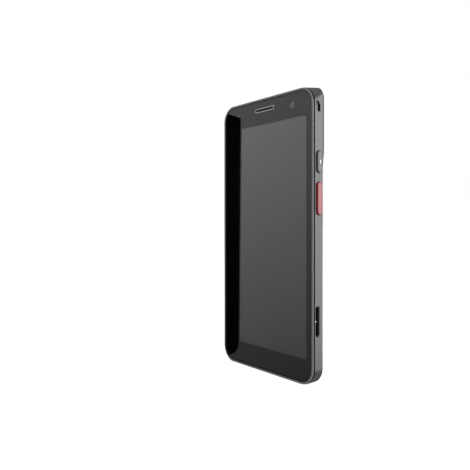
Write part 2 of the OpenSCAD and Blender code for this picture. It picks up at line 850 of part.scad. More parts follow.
module rear_cover() {
    color("#3b3c3e") set_down() difference() {
        union() {
            difference() {
                back_solid(0, split_depth);
                head_hollow();
                tail_hollow();
            }
            cover_blocks();
        }
        battery_opening();
        strap_cuts();
        slab(contact_slot_l, contact_slot_w, contact_slot_w / 2 - 0.05, contact_floor, bump_back + 1, 0,
             contact_z);
        for (s = [-1, 1]) rod(contact_r + 0.02, contact_floor - 2, contact_floor + 1, s * contact_x,
                              contact_z);
        slab(latch_w, well_h + 2, 1, split_depth + 0.8, bump_back + 1, 0, well_z1 - (well_h + 2) / 2);
        slab(label_w, label_h, 1.5, bump_back - label_recess, bump_back + 1, -label_x, label_z);
        camera_cuts();
        tail_strap_cuts();
        usb_opening(0.2);
        speaker_cuts();
        mic_channel();
        for (x = [-16.6, -20.3]) rod(mic_hole_r, bump_back - 3, bump_back + 1, x, body_h - 29.3);
        rod(mic_hole_r, bump_back - 3, bump_back + 1, camera_x + 0.2, body_h - 29);
        translate([0, 0, body_h - cover_wall - 1]) linear_extrude(height = cover_wall + 2)
            window_outline(0.5);
        for (x = screw_xs, z = [screw_z_top, screw_z_bottom]) {
            rod(screw_r + 0.15, split_depth - 1, flange_depth + 1, x, z);
            rod(screw_head_r + 0.15, flange_depth - pocket_fit - screw_head_t, flange_depth + 1, x, z);
        }
    }
}

module cover_screws() {
    color("#6b6b70") set_down() for (x = screw_xs, z = [screw_z_top, screw_z_bottom]) difference() {
        union() {
            rod(screw_head_r, flange_depth - pocket_fit - screw_head_t, flange_depth - pocket_fit, x, z);
            rod(screw_r, deck_back, flange_depth - pocket_fit - 0.5, x, z);
        }
        translate([x, flange_depth, z]) rotate([90, 0, 0]) cylinder(h = 0.6, r = 0.7, $fn = 6);
    }
}

// A steel frame on the tunnel's floor: one strip behind each strap slot and a post at each end.
module strap_clip() {
    w = strap_slot_l / 2 - 0.9;
    z0 = strap_z2 + 0.8;
    z1 = strap_z + strap_slot_w / 2 - 0.1;
    color("#d0d0d4") set_down() difference() {
        block(-w, w, strap_floor, strap_floor + clip_t, z0, z1);
        block(-w + 1.2, w - 1.2, strap_floor - 1, strap_floor + 1, z0 + clip_strip_h, z1 - clip_strip_h);
    }
}

module accessory_contacts() {
    color("#e0dccf") set_down() for (s = [-1, 1]) {
        rod(contact_r, contact_floor - 1.3, contact_floor + 0.5, s * contact_x, contact_z);
        rod(contact_r - 0.4, contact_floor + 0.45, contact_floor + 0.8, s * contact_x, contact_z);
    }
}

module blank_label() {
    color("#e9e6b4") set_down()
        slab(label_w - 0.3, label_h - 0.3, 1.35, bump_back - label_recess, bump_back - 0.05, -label_x,
             label_z);
}

// ---------- Camera and scanner ----------

module camera_window() {
    color("#2c2c2f") set_down() difference() {
        slab(camera_plate_w - 0.2, camera_plate_h - 0.2, 1.9, bump_back - camera_plate_t, bump_back - 0.1,
             camera_x, camera_plate_z);
        rod(camera_r, bump_back - 2, bump_back + 1, camera_x, camera_z);
        rod(flash_r, bump_back - 2, bump_back + 1, camera_x, flash_z);
        block(camera_x - 2.6, camera_x + camera_plate_w, bump_back - 0.35, bump_back + 1,
              camera_plate_z - 0.3, camera_plate_z + 0.3);
    }
}

module camera_lens() {
    color("#9fa3a8") set_down()
        rod(camera_r - 0.05, bump_back - camera_plate_t, bump_back - 0.2, camera_x, camera_z);
}

module flash_lens() {
    color("#e8e8e4") set_down()
        rod(flash_r - 0.05, bump_back - camera_plate_t, bump_back - 0.15, camera_x, flash_z);
}

module rear_camera() {
    inner = bump_back - cover_wall - 0.1;
    color("#18181c") set_down() {
        block(camera_x - 4.2, camera_x + 4.2, inner - 5.4, inner - 1.4, camera_z - 4.2, camera_z + 4.2);
        rod(2.9, inner - 1.45, inner, camera_x, camera_z);
    }
}

module flash_led() {
    inner = bump_back - cover_wall - 0.1;
    color("#e0d890") set_down()
        block(camera_x - 1.8, camera_x + 1.8, inner - 0.9, inner, flash_z - 1.8, flash_z + 1.8);
}

module scan_window() {
    color("#2a2224") set_down() translate([0, 0, body_h - 0.3 - scan_window_t])
        linear_extrude(height = scan_window_t) window_outline(0);
}

module scan_window_gasket() {
    color("#0c0c0c") set_down() translate([0, 0, body_h - 0.3 - scan_window_t])
        linear_extrude(height = scan_window_t + 0.1) difference() {
        window_outline(0.47);
        window_outline(0.02);
    }
}

module scan_engine() {
    color("#5a5a60") set_down() translate([-scan_x, 0, 0]) difference() {
        block(-engine_w / 2, engine_w / 2, scan_depth - engine_d / 2, scan_depth + engine_d / 2,
              engine_z1 - engine_h, engine_z1);
        translate([-4.5, scan_depth, engine_z1 - 3]) cylinder(h = 4, r = 2.3);
        translate([5.5, scan_depth, engine_z1 - 2]) cylinder(h = 3, r = 1.6);
        translate([0.8, scan_depth, engine_z1 - 2]) cylinder(h = 3, r = 1);
    }
}

module engine_lenses() {
    color("#36506a") set_down() translate([-scan_x, scan_depth, 0]) {
        translate([-4.5, 0, engine_z1 - 3]) cylinder(h = 2.6, r = 2.28);
        translate([5.5, 0, engine_z1 - 2]) cylinder(h = 1.8, r = 1.58);
        translate([0.8, 0, engine_z1 - 2]) cylinder(h = 1.6, r = 0.98);
    }
}

// ---------- Electronics ----------

module main_board() {
    color("#1f5a36") set_down() difference() {
        slab(head_board_w, head_board_z1 - head_board_z0, 3, board_front, board_back, 0,
             (head_board_z0 + head_board_z1) / 2);
        rod(2.2, board_front - 1, board_back + 1, front_camera_x, front_camera_z);
    }
}

module board_shields() {
    color("#b9bcc0") set_down() {
        slab(24, 15, 0.6, board_back, board_back + shield_t, -17, head_board_z0 + 10);
        slab(18, 15, 0.6, board_back, board_back + shield_t, 8, head_board_z0 + 10);
        slab(26, 12, 0.6, board_back, board_back + shield_t, -14, head_board_z1 - 12);
    }
}

module nfc_coil() {
    inner = bump_back - cover_wall - 0.05;
    color("#b06a2c") set_down() difference() {
        slab(20, 13.5, 2, inner - 0.25, inner, 0, nfc_z);
        slab(15, 8.5, 1, inner - 1, inner + 1, 0, nfc_z);
    }
}

module interconnect_flex() {
    color("#b8742a") set_down() {
        block(-30, -24, deck_back + flex_gap, deck_back + flex_gap + 0.15, screw_z_bottom + boss_r + 0.5,
              screw_z_top - boss_r - 0.5);
    }
}

module lower_board() {
    color("#1f5a36") set_down() difference() {
        slab(2 * (band_in - 5), lower_board_z1 - lower_board_z0, 1.5, board_front, board_back, 0,
             (lower_board_z0 + lower_board_z1) / 2);
        usb_opening(0.1);
    }
}

module usb_connector() {
    color("#c4c6c9") set_down() translate([0, usb_back - usb_d / 2, usb_inset]) difference() {
        linear_extrude(height = usb_h) stadium(usb_w, usb_d);
        translate([0, 0, -1]) linear_extrude(height = usb_h + 0.4) stadium(usb_w - 0.6, usb_d - 0.6);
    }
}

module usb_tongue() {
    color("#151515") set_down() translate([0, usb_back - usb_d / 2, usb_inset])
        block(-3.3, 3.3, -0.35, 0.35, 1, usb_h - 0.6);
}

module loudspeaker() {
    color("#3c3c42") set_down() difference() {
        block(speaker_x - speaker_l / 2, speaker_x + speaker_l / 2, board_back + 0.1,
              cover_in_depth - 0.6, band_wall + 0.1, battery_z0 - 1.6);
        translate([speaker_x, board_back + 1.8, 5 + cover_wall]) rotate([-90, 0, 0])
            cylinder(h = battery_back, r = 3.6);
    }
}

module speaker_mesh() {
    color("#0a0a0a") set_down() block(speaker_x - speaker_l / 2 + 0.4, speaker_x + speaker_l / 2 - 0.4,
        split_depth + 0.6, split_depth + 2.6, cover_wall, cover_wall + 0.25);
}

module vibration_motor() {
    color("#b2b5ba") set_down() rod(4, board_back, cover_in_depth - 1.2, -21, 8.6);
}

module microphones() {
    color("#c8b060") set_down() {
        block(-15.5, -12.5, split_depth - 1.8 + 1.2, split_depth + 1.2, band_wall + 0.6, band_wall + 1.6);
        block(-20.8, -16.1, bump_back - cover_wall - 1.1, bump_back - cover_wall - 0.1, body_h - 30.3,
              body_h - 28.3);
    }
}

module battery_connector() {
    color("#d8d2bd") set_down() {
        block(-7, 7, deck_back, case_depth - 0.3, case_z1 - 8, case_z1 - 3);
        for (i = [-2:2])
            block(2.4 * i - 0.5, 2.4 * i + 0.5, case_depth - 0.3, case_depth, case_z1 - 6.5,
                  case_z1 - 4.5);
    }
}

module sim_holder() {
    color("#c0c3c7") set_down() difference() {
        block(8, 23, deck_back, case_depth - 0.1, case_z0 + 22, case_z0 + 36);
        block(9, 22, deck_back + 0.1, case_depth, case_z0 + 22.8, case_z0 + 35.2);
    }
}

// ---------- Battery ----------

module battery_cover() {
    z0 = battery_z0 + seam_fit;
    z1 = battery_z1 - seam_fit;
    color("#3b3c3e") set_down() {
        difference() {
            intersection() {
                battery_solid(0, split_depth);
                block(-seam_x + seam_fit, seam_x - seam_fit, flange_depth, battery_back, z0, z1);
            }
            intersection() {
                battery_solid(cover_wall, split_depth - 1);
                block(-seam_x + seam_fit + cover_wall, seam_x - seam_fit - cover_wall, flange_depth - 1,
                      cover_in_depth,
                      z0 + cover_wall, pocket_z0 - cover_wall);
            }
            slab(latch_w, tab_z1 - pocket_z0 + 4, 1, latch_floor, battery_back + 1, 0,
                 pocket_z0 + (tab_z1 - pocket_z0 + 4) / 2);
            // Grooves in the pocket's sides, in which the tab's tenons run.
            block(-latch_w / 2 - tenon - 0.1, latch_w / 2 + tenon + 0.1, tenon_depth - 0.1,
                  tenon_depth + tenon_t + 0.1,
                  tab_z0 - latch_travel, tab_z1 + 1);
        }
        // The post that the spring pushes against.
        block(-post_w / 2, post_w / 2, latch_floor - eps, tab_hollow_back - 0.15, post_z0,
              post_z0 + post_h);
    }
}

module battery_case() {
    color("#202123") set_down() difference() {
        slab(case_w, case_z1 - case_z0, 2, case_depth, case_back, 0, (case_z0 + case_z1) / 2);
        slab(case_w - 2 * case_wall, case_z1 - case_z0 - 2 * case_wall, 1.2, case_depth + 0.5,
             case_back + 1, 0, (case_z0 + case_z1) / 2);
        for (i = [-2:2])
            block(2.4 * i - 0.9, 2.4 * i + 0.9, case_depth - 1, case_depth + 0.2, case_z1 - 7,
                  case_z1 - 4);
    }
}

module battery_cell() {
    cell_w = case_w - 2 * case_wall - 0.6;
    z0 = case_z0 + case_wall + 0.3;
    z1 = pocket_z0 - cover_wall - 1.2;
    color("#8f9298") set_down()
        slab(cell_w - 2.4, min(z1, case_z1 - case_wall - 0.3) - z0, 1.5, case_depth + 0.6, cell_top, 0,
             (z0 + min(z1, case_z1 - case_wall - 0.3)) / 2);
}

module battery_contacts() {
    color("#d2a640") set_down() for (i = [-2:2])
        block(2.4 * i - 0.85, 2.4 * i + 0.85, case_depth + 0.02, case_depth + 0.2, case_z1 - 6.9,
              case_z1 - 4.1);
}

module battery_seal() {
    color("#0d0d0d") set_down() difference() {
        slab(case_w + 2.4, case_z1 - case_z0 + 1.2, 2.6, case_back - 1.1, case_back - 0.3, 0,
             (case_z0 + case_z1) / 2);
        slab(case_w, case_z1 - case_z0, 2, case_back - 3, case_back + 1, 0, (case_z0 + case_z1) / 2);
    }
}

// ---------- Latch ----------

module latch_guide() {
    color("#d4d4d8") set_down() difference() {
        slab(latch_w - 0.4, tab_z1 - pocket_z0 - 0.4, 0.6, latch_floor, latch_floor + plate_t, 0,
             (tab_z1 + pocket_z0) / 2);
        block(-post_w / 2 - 0.1, post_w / 2 + 0.1, latch_floor - 1, latch_floor + 1, post_z0 - 0.1,
              post_z0 + post_h + 0.1);
    }
}

module latch_tongue() {
    z0 = post_z0 + post_h + latch_travel + 0.3;
    z1 = well_z1 - 0.9;
    color("#d4d4d8") set_down()
        slab(tongue_w, z1 - z0, 0.5, tongue_depth, tongue_depth + tongue_t, -tongue_x, (z0 + z1) / 2);
}

module latch_tab() {
    color("#3b3c3e") set_down() difference() {
        union() {
            slab(latch_w - 0.8, tab_h, 0.8, tab_depth, battery_back, 0, (tab_z0 + tab_z1) / 2);
            block(-latch_w / 2 - tenon, latch_w / 2 + tenon, tenon_depth, tenon_depth + tenon_t,
                  tab_z0 + 1, tab_z1 - 1);
        }
        block(-tab_hollow_w / 2, tab_hollow_w / 2, tab_depth - 1, tab_hollow_back, post_z0 - 0.2,
              spring_z1);
        slab(latch_w - 3.6, 0.8, 0.35, battery_back - 0.25, battery_back + 1, 0, (tab_z0 + tab_z1) / 2);
    }
}

// Rings of points round the spring's wire, along its helix.
function spring_ring(i, n, sides) = let (
    a = 360 * spring_turns * i / n,
    z = spring_z0 + spring_wire + (spring_z1 - spring_z0 - 2 * spring_wire - 0.01) * i / n
) [for (k = [0:sides - 1]) let (b = -360 * k / sides, r = spring_r + spring_wire * cos(b))
    [r * cos(a), r * sin(a), z + spring_wire * sin(b)]];

module latch_spring() {
    n = 14 * spring_turns;
    color("#c8c8cc") set_down() translate([0, spring_depth, 0])
        skin_over([for (i = [0:n]) spring_ring(i, n, 6)]);
}

// ---------- Nodes ----------

mid_frame();
front_bezel();
bezel_gasket();
glass_adhesive();
cover_glass();
lcd_panel();
display_flex();
earpiece_trim();
earpiece_mesh();
earpiece_speaker();
front_camera();
status_light();
rear_cover();
camera_window();
camera_lens();
flash_lens();
rear_camera();
flash_led();
strap_clip();
accessory_contacts();
blank_label();
scan_window();
scan_window_gasket();
scan_engine();
engine_lenses();
main_board();
board_shields();
nfc_coil();
interconnect_flex();
lower_board();
usb_connector();
usb_tongue();
loudspeaker();
speaker_mesh();
vibration_motor();
microphones();
battery_connector();
sim_holder();
switch_board_left();
switch_board_right();
cover_screws();
rocker_pin();
lanyard_pins();
side_port_insert();
side_port_contacts();
detent_ball();
battery_cover();
battery_case();
battery_cell();
battery_contacts();
battery_seal();
latch_guide();
latch_spring();
latch_tab();
latch_tongue();
power_key();
volume_rocker();
scan_key_left();
scan_key_right();
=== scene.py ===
"""Looks of a slim handheld scanning computer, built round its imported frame."""

import logging
import math
from dataclasses import dataclass
from enum import Enum
from typing import Callable, Dict, List, Optional, Sequence, Tuple, Union

import bpy
from mathutils import Matrix, Vector


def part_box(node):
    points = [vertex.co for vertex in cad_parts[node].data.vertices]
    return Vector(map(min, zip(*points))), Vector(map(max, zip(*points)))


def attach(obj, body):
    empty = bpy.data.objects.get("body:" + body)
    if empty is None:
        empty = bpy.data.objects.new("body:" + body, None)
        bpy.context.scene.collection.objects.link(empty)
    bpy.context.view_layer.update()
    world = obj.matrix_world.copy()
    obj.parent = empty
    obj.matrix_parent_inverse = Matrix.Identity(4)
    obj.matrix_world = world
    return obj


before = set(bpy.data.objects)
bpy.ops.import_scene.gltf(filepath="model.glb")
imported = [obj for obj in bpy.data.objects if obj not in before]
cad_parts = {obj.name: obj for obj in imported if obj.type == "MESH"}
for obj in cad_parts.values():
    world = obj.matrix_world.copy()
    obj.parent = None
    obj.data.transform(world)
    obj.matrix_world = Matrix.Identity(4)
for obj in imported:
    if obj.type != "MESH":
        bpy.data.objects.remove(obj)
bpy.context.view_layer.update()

LOG = logging.getLogger("handset")
FRONT_Y = -8.5
MM = 0.001
Socket = bpy.types.NodeSocket
NodeTree = bpy.types.NodeTree
ShaderNode = bpy.types.Node
Piece = bpy.types.Object
Point2 = Tuple[float, float]
Point3 = Tuple[float, float, float]
Colour = Tuple[float, float, float]
SocketValue = Union[float, Sequence[float], Socket]
Values = Dict[Union[str, int], SocketValue]


class Body(Enum):
    """The rigid bodies that pieces ride on."""

    HANDSET = "handset"
    BATTERY = "battery"
    LATCH = "latch"
    POWER_KEY = "power_key"
    VOLUME_ROCKER = "volume_rocker"
    SCAN_KEY_LEFT = "scan_key_left"
    SCAN_KEY_RIGHT = "scan_key_right"


class Edge(Enum):
    """How far the edges of a carried-over part are rounded, in millimetres."""

    CRISP = 0.03
    FINE = 0.08
    SOFT = 0.15
    ROUND = 0.3
    WIDE = 0.45
    CROWN = 0.6


# ---------------------------------------------------------------- shader trees


class Tree:
    """Short ways of adding and joining nodes in one node tree."""

    def __init__(self, nodes: NodeTree) -> None:
        """Works on a tree.

        Args:
            nodes: The material's or the group's node tree.
        """
        self.tree = nodes

    def add(self, kind: str, values: Optional[Values] = None, **settings: object) -> ShaderNode:
        """Adds a node.

        Args:
            kind: The node's type name.
            values: Input sockets by name, each with a constant or an output socket to join.
            settings: The node's own properties.

        Returns:
            The new node.
        """
        node = self.tree.nodes.new(kind)
        for name, value in settings.items():
            setattr(node, name, value)
        for name, value in (values or {}).items():
            self.feed(node, name, value)
        return node

    def feed(self, node: ShaderNode, name: Union[str, int], value: SocketValue) -> None:
        """Sets or joins one input.

        Args:
            node: The node that takes the value.
            name: The input's name or index.
            value: A constant, or an output socket.
        """
        socket = node.inputs[name]
        if isinstance(value, Socket):
            self.tree.links.new(value, socket)
        else:
            socket.default_value = value

    def math(self, operation: str, *values: SocketValue, clamp: bool = False) -> Socket:
        """Adds a Math node.

        Args:
            operation: The operation's name.
            values: Its operands in order.
            clamp: Whether the result is kept between 0 and 1.

        Returns:
            The result socket.
        """
        node = self.tree.nodes.new("ShaderNodeMath")
        node.operation = operation
        node.use_clamp = clamp
        for index, value in enumerate(values):
            self.feed(node, index, value)
        return node.outputs[0]

    def mix(self, share: SocketValue, first: SocketValue, second: SocketValue) -> Socket:
        """Mixes two colours.

        Args:
            share: How much of the second colour shows.
            first: The first colour.
            second: The second colour.

        Returns:
            The mixed colour's socket.
        """
        node = self.tree.nodes.new("ShaderNodeMix")
        node.data_type = "RGBA"
        for name, value in (("Factor_Float", share), ("A_Color", first), ("B_Color", second)):
            socket = next(s for s in node.inputs if s.identifier == name)
            if isinstance(value, Socket):
                self.tree.links.new(value, socket)
            elif name == "Factor_Float":
                socket.default_value = value
            else:
                socket.default_value = (*value[:3], 1.0)
        return next(s for s in node.outputs if s.identifier == "Result_Color")

    def remap(self, value: SocketValue, low: float, high: float, to_low: float, to_high: float) -> Socket:
        """Maps a value from one range to another, clamped.

        Args:
            value: The value.
            low: The range's low end.
            high: The range's high end.
            to_low: What the low end becomes.
            to_high: What the high end becomes.

        Returns:
            The result socket.
        """
        values = {"Value": value, "From Min": low, "From Max": high, "To Min": to_low, "To Max": to_high}
        return self.add("ShaderNodeMapRange", values).outputs["Result"]

    def place(self) -> Socket:
        """Returns the piece's own coordinates, in metres."""
        return self.add("ShaderNodeTexCoord").outputs["Object"]

    def noise(self, scale: SocketValue, detail: float = 2.0, vector: Optional[Socket] = None) -> Socket:
        """Adds soft noise.

        Args:
            scale: Cells per metre.
            detail: How many finer layers it has.
            vector: Coordinates in place of the piece's own.

        Returns:
            The noise value's socket.
        """
        values = {"Vector": vector or self.place(), "Scale": scale, "Detail": detail}
        return self.add("ShaderNodeTexNoise", values).outputs["Fac"]

    def bump(self, height: Socket, strength: float, depth: float) -> Socket:
        """Turns a height into a bumped normal.

        Args:
            height: The height, from 0 to 1.
            strength: How strongly it shows.
            depth: How deep it is, in metres.

        Returns:
            The normal's socket.
        """
        values = {"Height": height, "Strength": strength, "Distance": depth}
        return self.add("ShaderNodeBump", values).outputs["Normal"]

    def reach(self, across: Socket, up: Socket) -> Socket:
        """Returns the distance from the origin of a point in a plane."""
        squares = [self.math("POWER", side, 2.0) for side in (across, up)]
        return self.math("SQRT", self.math("ADD", *squares))

    def between(self, value: Socket, low: float, high: float) -> Socket:
        """Returns 1 where the value lies between low and high, and 0 elsewhere."""
        above = self.math("GREATER_THAN", value, low)
        return self.math("MULTIPLY", above, self.math("LESS_THAN", value, high))

    def split(self, vector: Socket) -> Tuple[Socket, ...]:
        """Returns the vector's X, Y and Z sockets."""
        return tuple(self.add("ShaderNodeSeparateXYZ", {"Vector": vector}).outputs)


_GROUPS: Dict[str, NodeTree] = {}


def new_group(
    name: str, inputs: Sequence[Tuple[str, str, float]], outputs: Sequence[Tuple[str, str]]
) -> Tuple[Tree, ShaderNode, ShaderNode]:
    """Starts a shader node group.

    Args:
        name: The group's name.
        inputs: Name, socket type and default of each input.
        outputs: Name and socket type of each output.

    Returns:
        The group's tree, its input node and its output node.
    """
    tree = bpy.data.node_groups.new(name, "ShaderNodeTree")
    for socket_name, kind, default in inputs:
        socket = tree.interface.new_socket(socket_name, in_out="INPUT", socket_type=kind)
        socket.default_value = default
    for socket_name, kind in outputs:
        tree.interface.new_socket(socket_name, in_out="OUTPUT", socket_type=kind)
    _GROUPS[name] = tree
    build = Tree(tree)
    return build, build.add("NodeGroupInput"), build.add("NodeGroupOutput")


FLOAT = "NodeSocketFloat"


def moulded_grain() -> NodeTree:
    """The fine spark texture of moulded plastic, with its slow cloudy variation.

    Returns:
        The group. Its outputs are Height and Mottle, both from 0 to 1.
    """
    if "moulded_grain" in _GROUPS:
        return _GROUPS["moulded_grain"]
    g, given, out = new_group(
        "moulded_grain",
        [("Grains per metre", FLOAT, 3500.0), ("Clouds per metre", FLOAT, 60.0)],
        [("Height", FLOAT), ("Mottle", FLOAT)],
    )
    place = g.place()
    cells = g.add("ShaderNodeTexVoronoi", {"Vector": place, "Scale": given.outputs["Grains per metre"]})
    fine = g.noise(g.math("MULTIPLY", given.outputs["Grains per metre"], 0.6), 2.0, place)
    coarse = g.math("MULTIPLY", cells.outputs["Distance"], 0.6)
    height = g.math("ADD", coarse, g.math("MULTIPLY", fine, 0.5))
    clouds = g.noise(given.outputs["Clouds per metre"], 3.0, place)
    g.feed(out, "Height", height)
    g.feed(out, "Mottle", clouds)
    return g.tree


def edge_wear() -> NodeTree:
    """A mask of rubbed edges: where the surface turns within the radius, broken up by noise.

    Returns:
        The group. Its output is Mask, from 0 to 1.
    """
    if "edge_wear" in _GROUPS:
        return _GROUPS["edge_wear"]
    g, given, out = new_group(
        "edge_wear",
        [("Radius", FLOAT, 0.0003), ("Amount", FLOAT, 0.5), ("Breaks per metre", FLOAT, 700.0)],
        [("Mask", FLOAT)],
    )
    rounded = g.add("ShaderNodeBevel", {"Radius": given.outputs["Radius"]}, samples=4)
    true = g.add("ShaderNodeNewGeometry")
    dot = g.add("ShaderNodeVectorMath", operation="DOT_PRODUCT")
    g.feed(dot, 0, rounded.outputs["Normal"])
    g.feed(dot, 1, true.outputs["Normal"])
    turned = g.math("SUBTRACT", 1.0, dot.outputs["Value"])
    broken = g.remap(g.noise(given.outputs["Breaks per metre"], 4.0), 0.35, 0.7, 0.0, 1.0)
    mask = g.math("MULTIPLY", g.remap(turned, 0.01, 0.25, 0.0, 1.0), broken)
    g.feed(out, "Mask", g.math("MULTIPLY", mask, given.outputs["Amount"], clamp=True))
    return g.tree


def settled_dust() -> NodeTree:
    """A mask of fine dust that lies on surfaces that face up.

    Returns:
        The group. Its output is Mask, from 0 to 1.
    """
    if "settled_dust" in _GROUPS:
        return _GROUPS["settled_dust"]
    g, given, out = new_group(
        "settled_dust", [("Amount", FLOAT, 0.2), ("Specks per metre", FLOAT, 1600.0)], [("Mask", FLOAT)]
    )
    up = g.split(g.add("ShaderNodeNewGeometry").outputs["Normal"])[2]
    lying = g.remap(up, -0.2, 1.0, 0.25, 1.0)
    specks = g.remap(g.noise(given.outputs["Specks per metre"], 5.0), 0.55, 0.8, 0.0, 1.0)
    patches = g.remap(g.noise(45.0, 3.0), 0.4, 0.7, 0.0, 1.0)
    mask = g.math("MULTIPLY", g.math("MULTIPLY", lying, specks), patches)
    g.feed(out, "Mask", g.math("MULTIPLY", mask, given.outputs["Amount"], clamp=True))
    return g.tree


def handling_marks() -> NodeTree:
    """Faint smears and hairline scratches that handling leaves on a smooth surface.

    Returns:
        The group. Its outputs are Smears and Scratches, both from 0 to 1.
    """
    if "handling_marks" in _GROUPS:
        return _GROUPS["handling_marks"]
    g, given, out = new_group(
        "handling_marks",
        [("Smears per metre", FLOAT, 70.0), ("Scratches per metre", FLOAT, 260.0)],
        [("Smears", FLOAT), ("Scratches", FLOAT)],
    )
    place = g.place()
    smear = g.remap(g.noise(given.outputs["Smears per metre"], 5.0, place), 0.45, 0.75, 0.0, 1.0)
    turned = g.add("ShaderNodeMapping", {
        "Vector": place, "Rotation": (0.3, 0.5, 0.7), "Scale": (1.0, 14.0, 0.6),
    })
    lines = g.noise(given.outputs["Scratches per metre"], 2.0, turned.outputs["Vector"])
    thin = g.remap(g.math("ABSOLUTE", g.math("SUBTRACT", lines, 0.5)), 0.0, 0.012, 1.0, 0.0)
    g.feed(out, "Smears", smear)
    g.feed(out, "Scratches", thin)
    return g.tree


def brushed_lines() -> NodeTree:
    """The long fine lines of rolled or brushed sheet metal.

    Returns:
        The group. Its output is Height, from 0 to 1.
    """
    if "brushed_lines" in _GROUPS:
        return _GROUPS["brushed_lines"]
    g, given, out = new_group("brushed_lines", [("Lines per metre", FLOAT, 9000.0)], [("Height", FLOAT)])
    stretched = g.add("ShaderNodeMapping", {"Vector": g.place(), "Scale": (0.03, 1.0, 1.0)})
    g.feed(out, "Height", g.noise(given.outputs["Lines per metre"], 3.0, stretched.outputs["Vector"]))
    return g.tree


# ---------------------------------------------------------------- finishes


class Finish:
    """What every finish shares: a name, and one material made from it."""

    name: str
    _made: Dict[str, bpy.types.Material] = {}

    def material(self) -> bpy.types.Material:
        """Makes the finish's material on first use.

        Returns:
            The material.
        """
        if self.name not in self._made:
            made = bpy.data.materials.new(self.name)
            made.use_nodes = True
            made.node_tree.nodes.clear()
            tree = Tree(made.node_tree)
            out = tree.add("ShaderNodeOutputMaterial")
            tree.feed(out, "Surface", self.surface(tree))
            self._made[self.name] = made
        return self._made[self.name]

    def surface(self, t: Tree) -> Socket:
        """Builds the surface.

        Args:
            t: The material's tree.

        Returns:
            The shader socket.
        """
        raise NotImplementedError


def group_node(t: Tree, group: NodeTree, values: Values) -> ShaderNode:
    """Places a group in a tree.

    Args:
        t: The tree.
        group: The group.
        values: The group's inputs by name.

    Returns:
        The group's node.
    """
    node = t.add("ShaderNodeGroup", node_tree=group)
    for name, value in values.items():
        t.feed(node, name, value)
    return node


def scaled(colour: Colour, share: float) -> Colour:
    """Returns a colour made lighter or darker by a factor, at most 1."""
    return tuple(min(1.0, c * share) for c in colour)


@dataclass(frozen=True)
class MouldedPlastic(Finish):
    """Plastic with a moulded texture, rubbed edges and a little dust."""

    name: str
    colour: Colour
    roughness: float = 0.5
    grains: float = 3500.0
    grain_depth: float = 0.12
    wear: float = 0.35
    wear_colour: Colour = (0.32, 0.32, 0.33)
    dust: float = 0.2
    coat: float = 0.0
    level: float = 0.5

    def surface(self, t: Tree) -> Socket:
        """Builds the plastic.

        Args:
            t: The material's tree.

        Returns:
            The shader socket.
        """
        grain = group_node(t, moulded_grain(), {"Grains per metre": self.grains})
        wear = group_node(t, edge_wear(), {"Amount": self.wear})
        dust = group_node(t, settled_dust(), {"Amount": self.dust})
        mottle = t.remap(grain.outputs["Mottle"], 0.3, 0.7, 0.0, 1.0)
        base = t.mix(mottle, scaled(self.colour, 0.93), scaled(self.colour, 1.07))
        pits = t.remap(grain.outputs["Height"], 0.25, 0.6, 0.0, 1.0)
        base = t.mix(pits, scaled(self.colour, 0.86), base)
        base = t.mix(wear.outputs["Mask"], base, self.wear_colour)
        base = t.mix(dust.outputs["Mask"], base, (0.55, 0.54, 0.52))
        clouds = t.remap(grain.outputs["Mottle"], 0.3, 0.7, self.roughness - 0.012, self.roughness + 0.015)
        rough = t.math("ADD", clouds, t.math("MULTIPLY", dust.outputs["Mask"], 0.3), clamp=True)
        bump = t.bump(grain.outputs["Height"], self.grain_depth, 0.00004)
        shader = t.add("ShaderNodeBsdfPrincipled", {
            "Base Color": base, "Roughness": rough, "Normal": bump, "Specular IOR Level": self.level,
            "Coat Weight": self.coat, "Coat Roughness": 0.12,
        })
        return shader.outputs["BSDF"]


@dataclass(frozen=True)
class GlossyPlastic(Finish):
    """Smooth plastic with a clear sheen, smears and hairline scratches."""

    name: str
    colour: Colour
    roughness: float = 0.2
    coat: float = 0.5
    depth_colour: Optional[Colour] = None
    level: float = 0.5

    def surface(self, t: Tree) -> Socket:
        """Builds the plastic.

        Args:
            t: The material's tree.

        Returns:
            The shader socket.
        """
        marks = group_node(t, handling_marks(), {})
        wear = group_node(t, edge_wear(), {"Amount": 0.25, "Radius": 0.0002})
        flow = t.remap(t.noise(220.0, 3.0), 0.35, 0.65, 0.0, 1.0)
        base = t.mix(flow, scaled(self.colour, 0.92), scaled(self.colour, 1.08))
        base = t.mix(wear.outputs["Mask"], base, self.depth_colour or scaled(self.colour, 2.2))
        rough = t.math("ADD", t.math("MULTIPLY", marks.outputs["Smears"], 0.10),
                       t.math("MULTIPLY", marks.outputs["Scratches"], 0.15))
        rough = t.math("ADD", rough, self.roughness, clamp=True)
        bump = t.bump(t.noise(900.0, 3.0), 0.04, 0.00005)
        shader = t.add("ShaderNodeBsdfPrincipled", {
            "Base Color": base, "Roughness": rough, "Normal": bump, "Coat Weight": self.coat,
            "Coat Roughness": 0.06, "Specular IOR Level": self.level,
        })
        return shader.outputs["BSDF"]


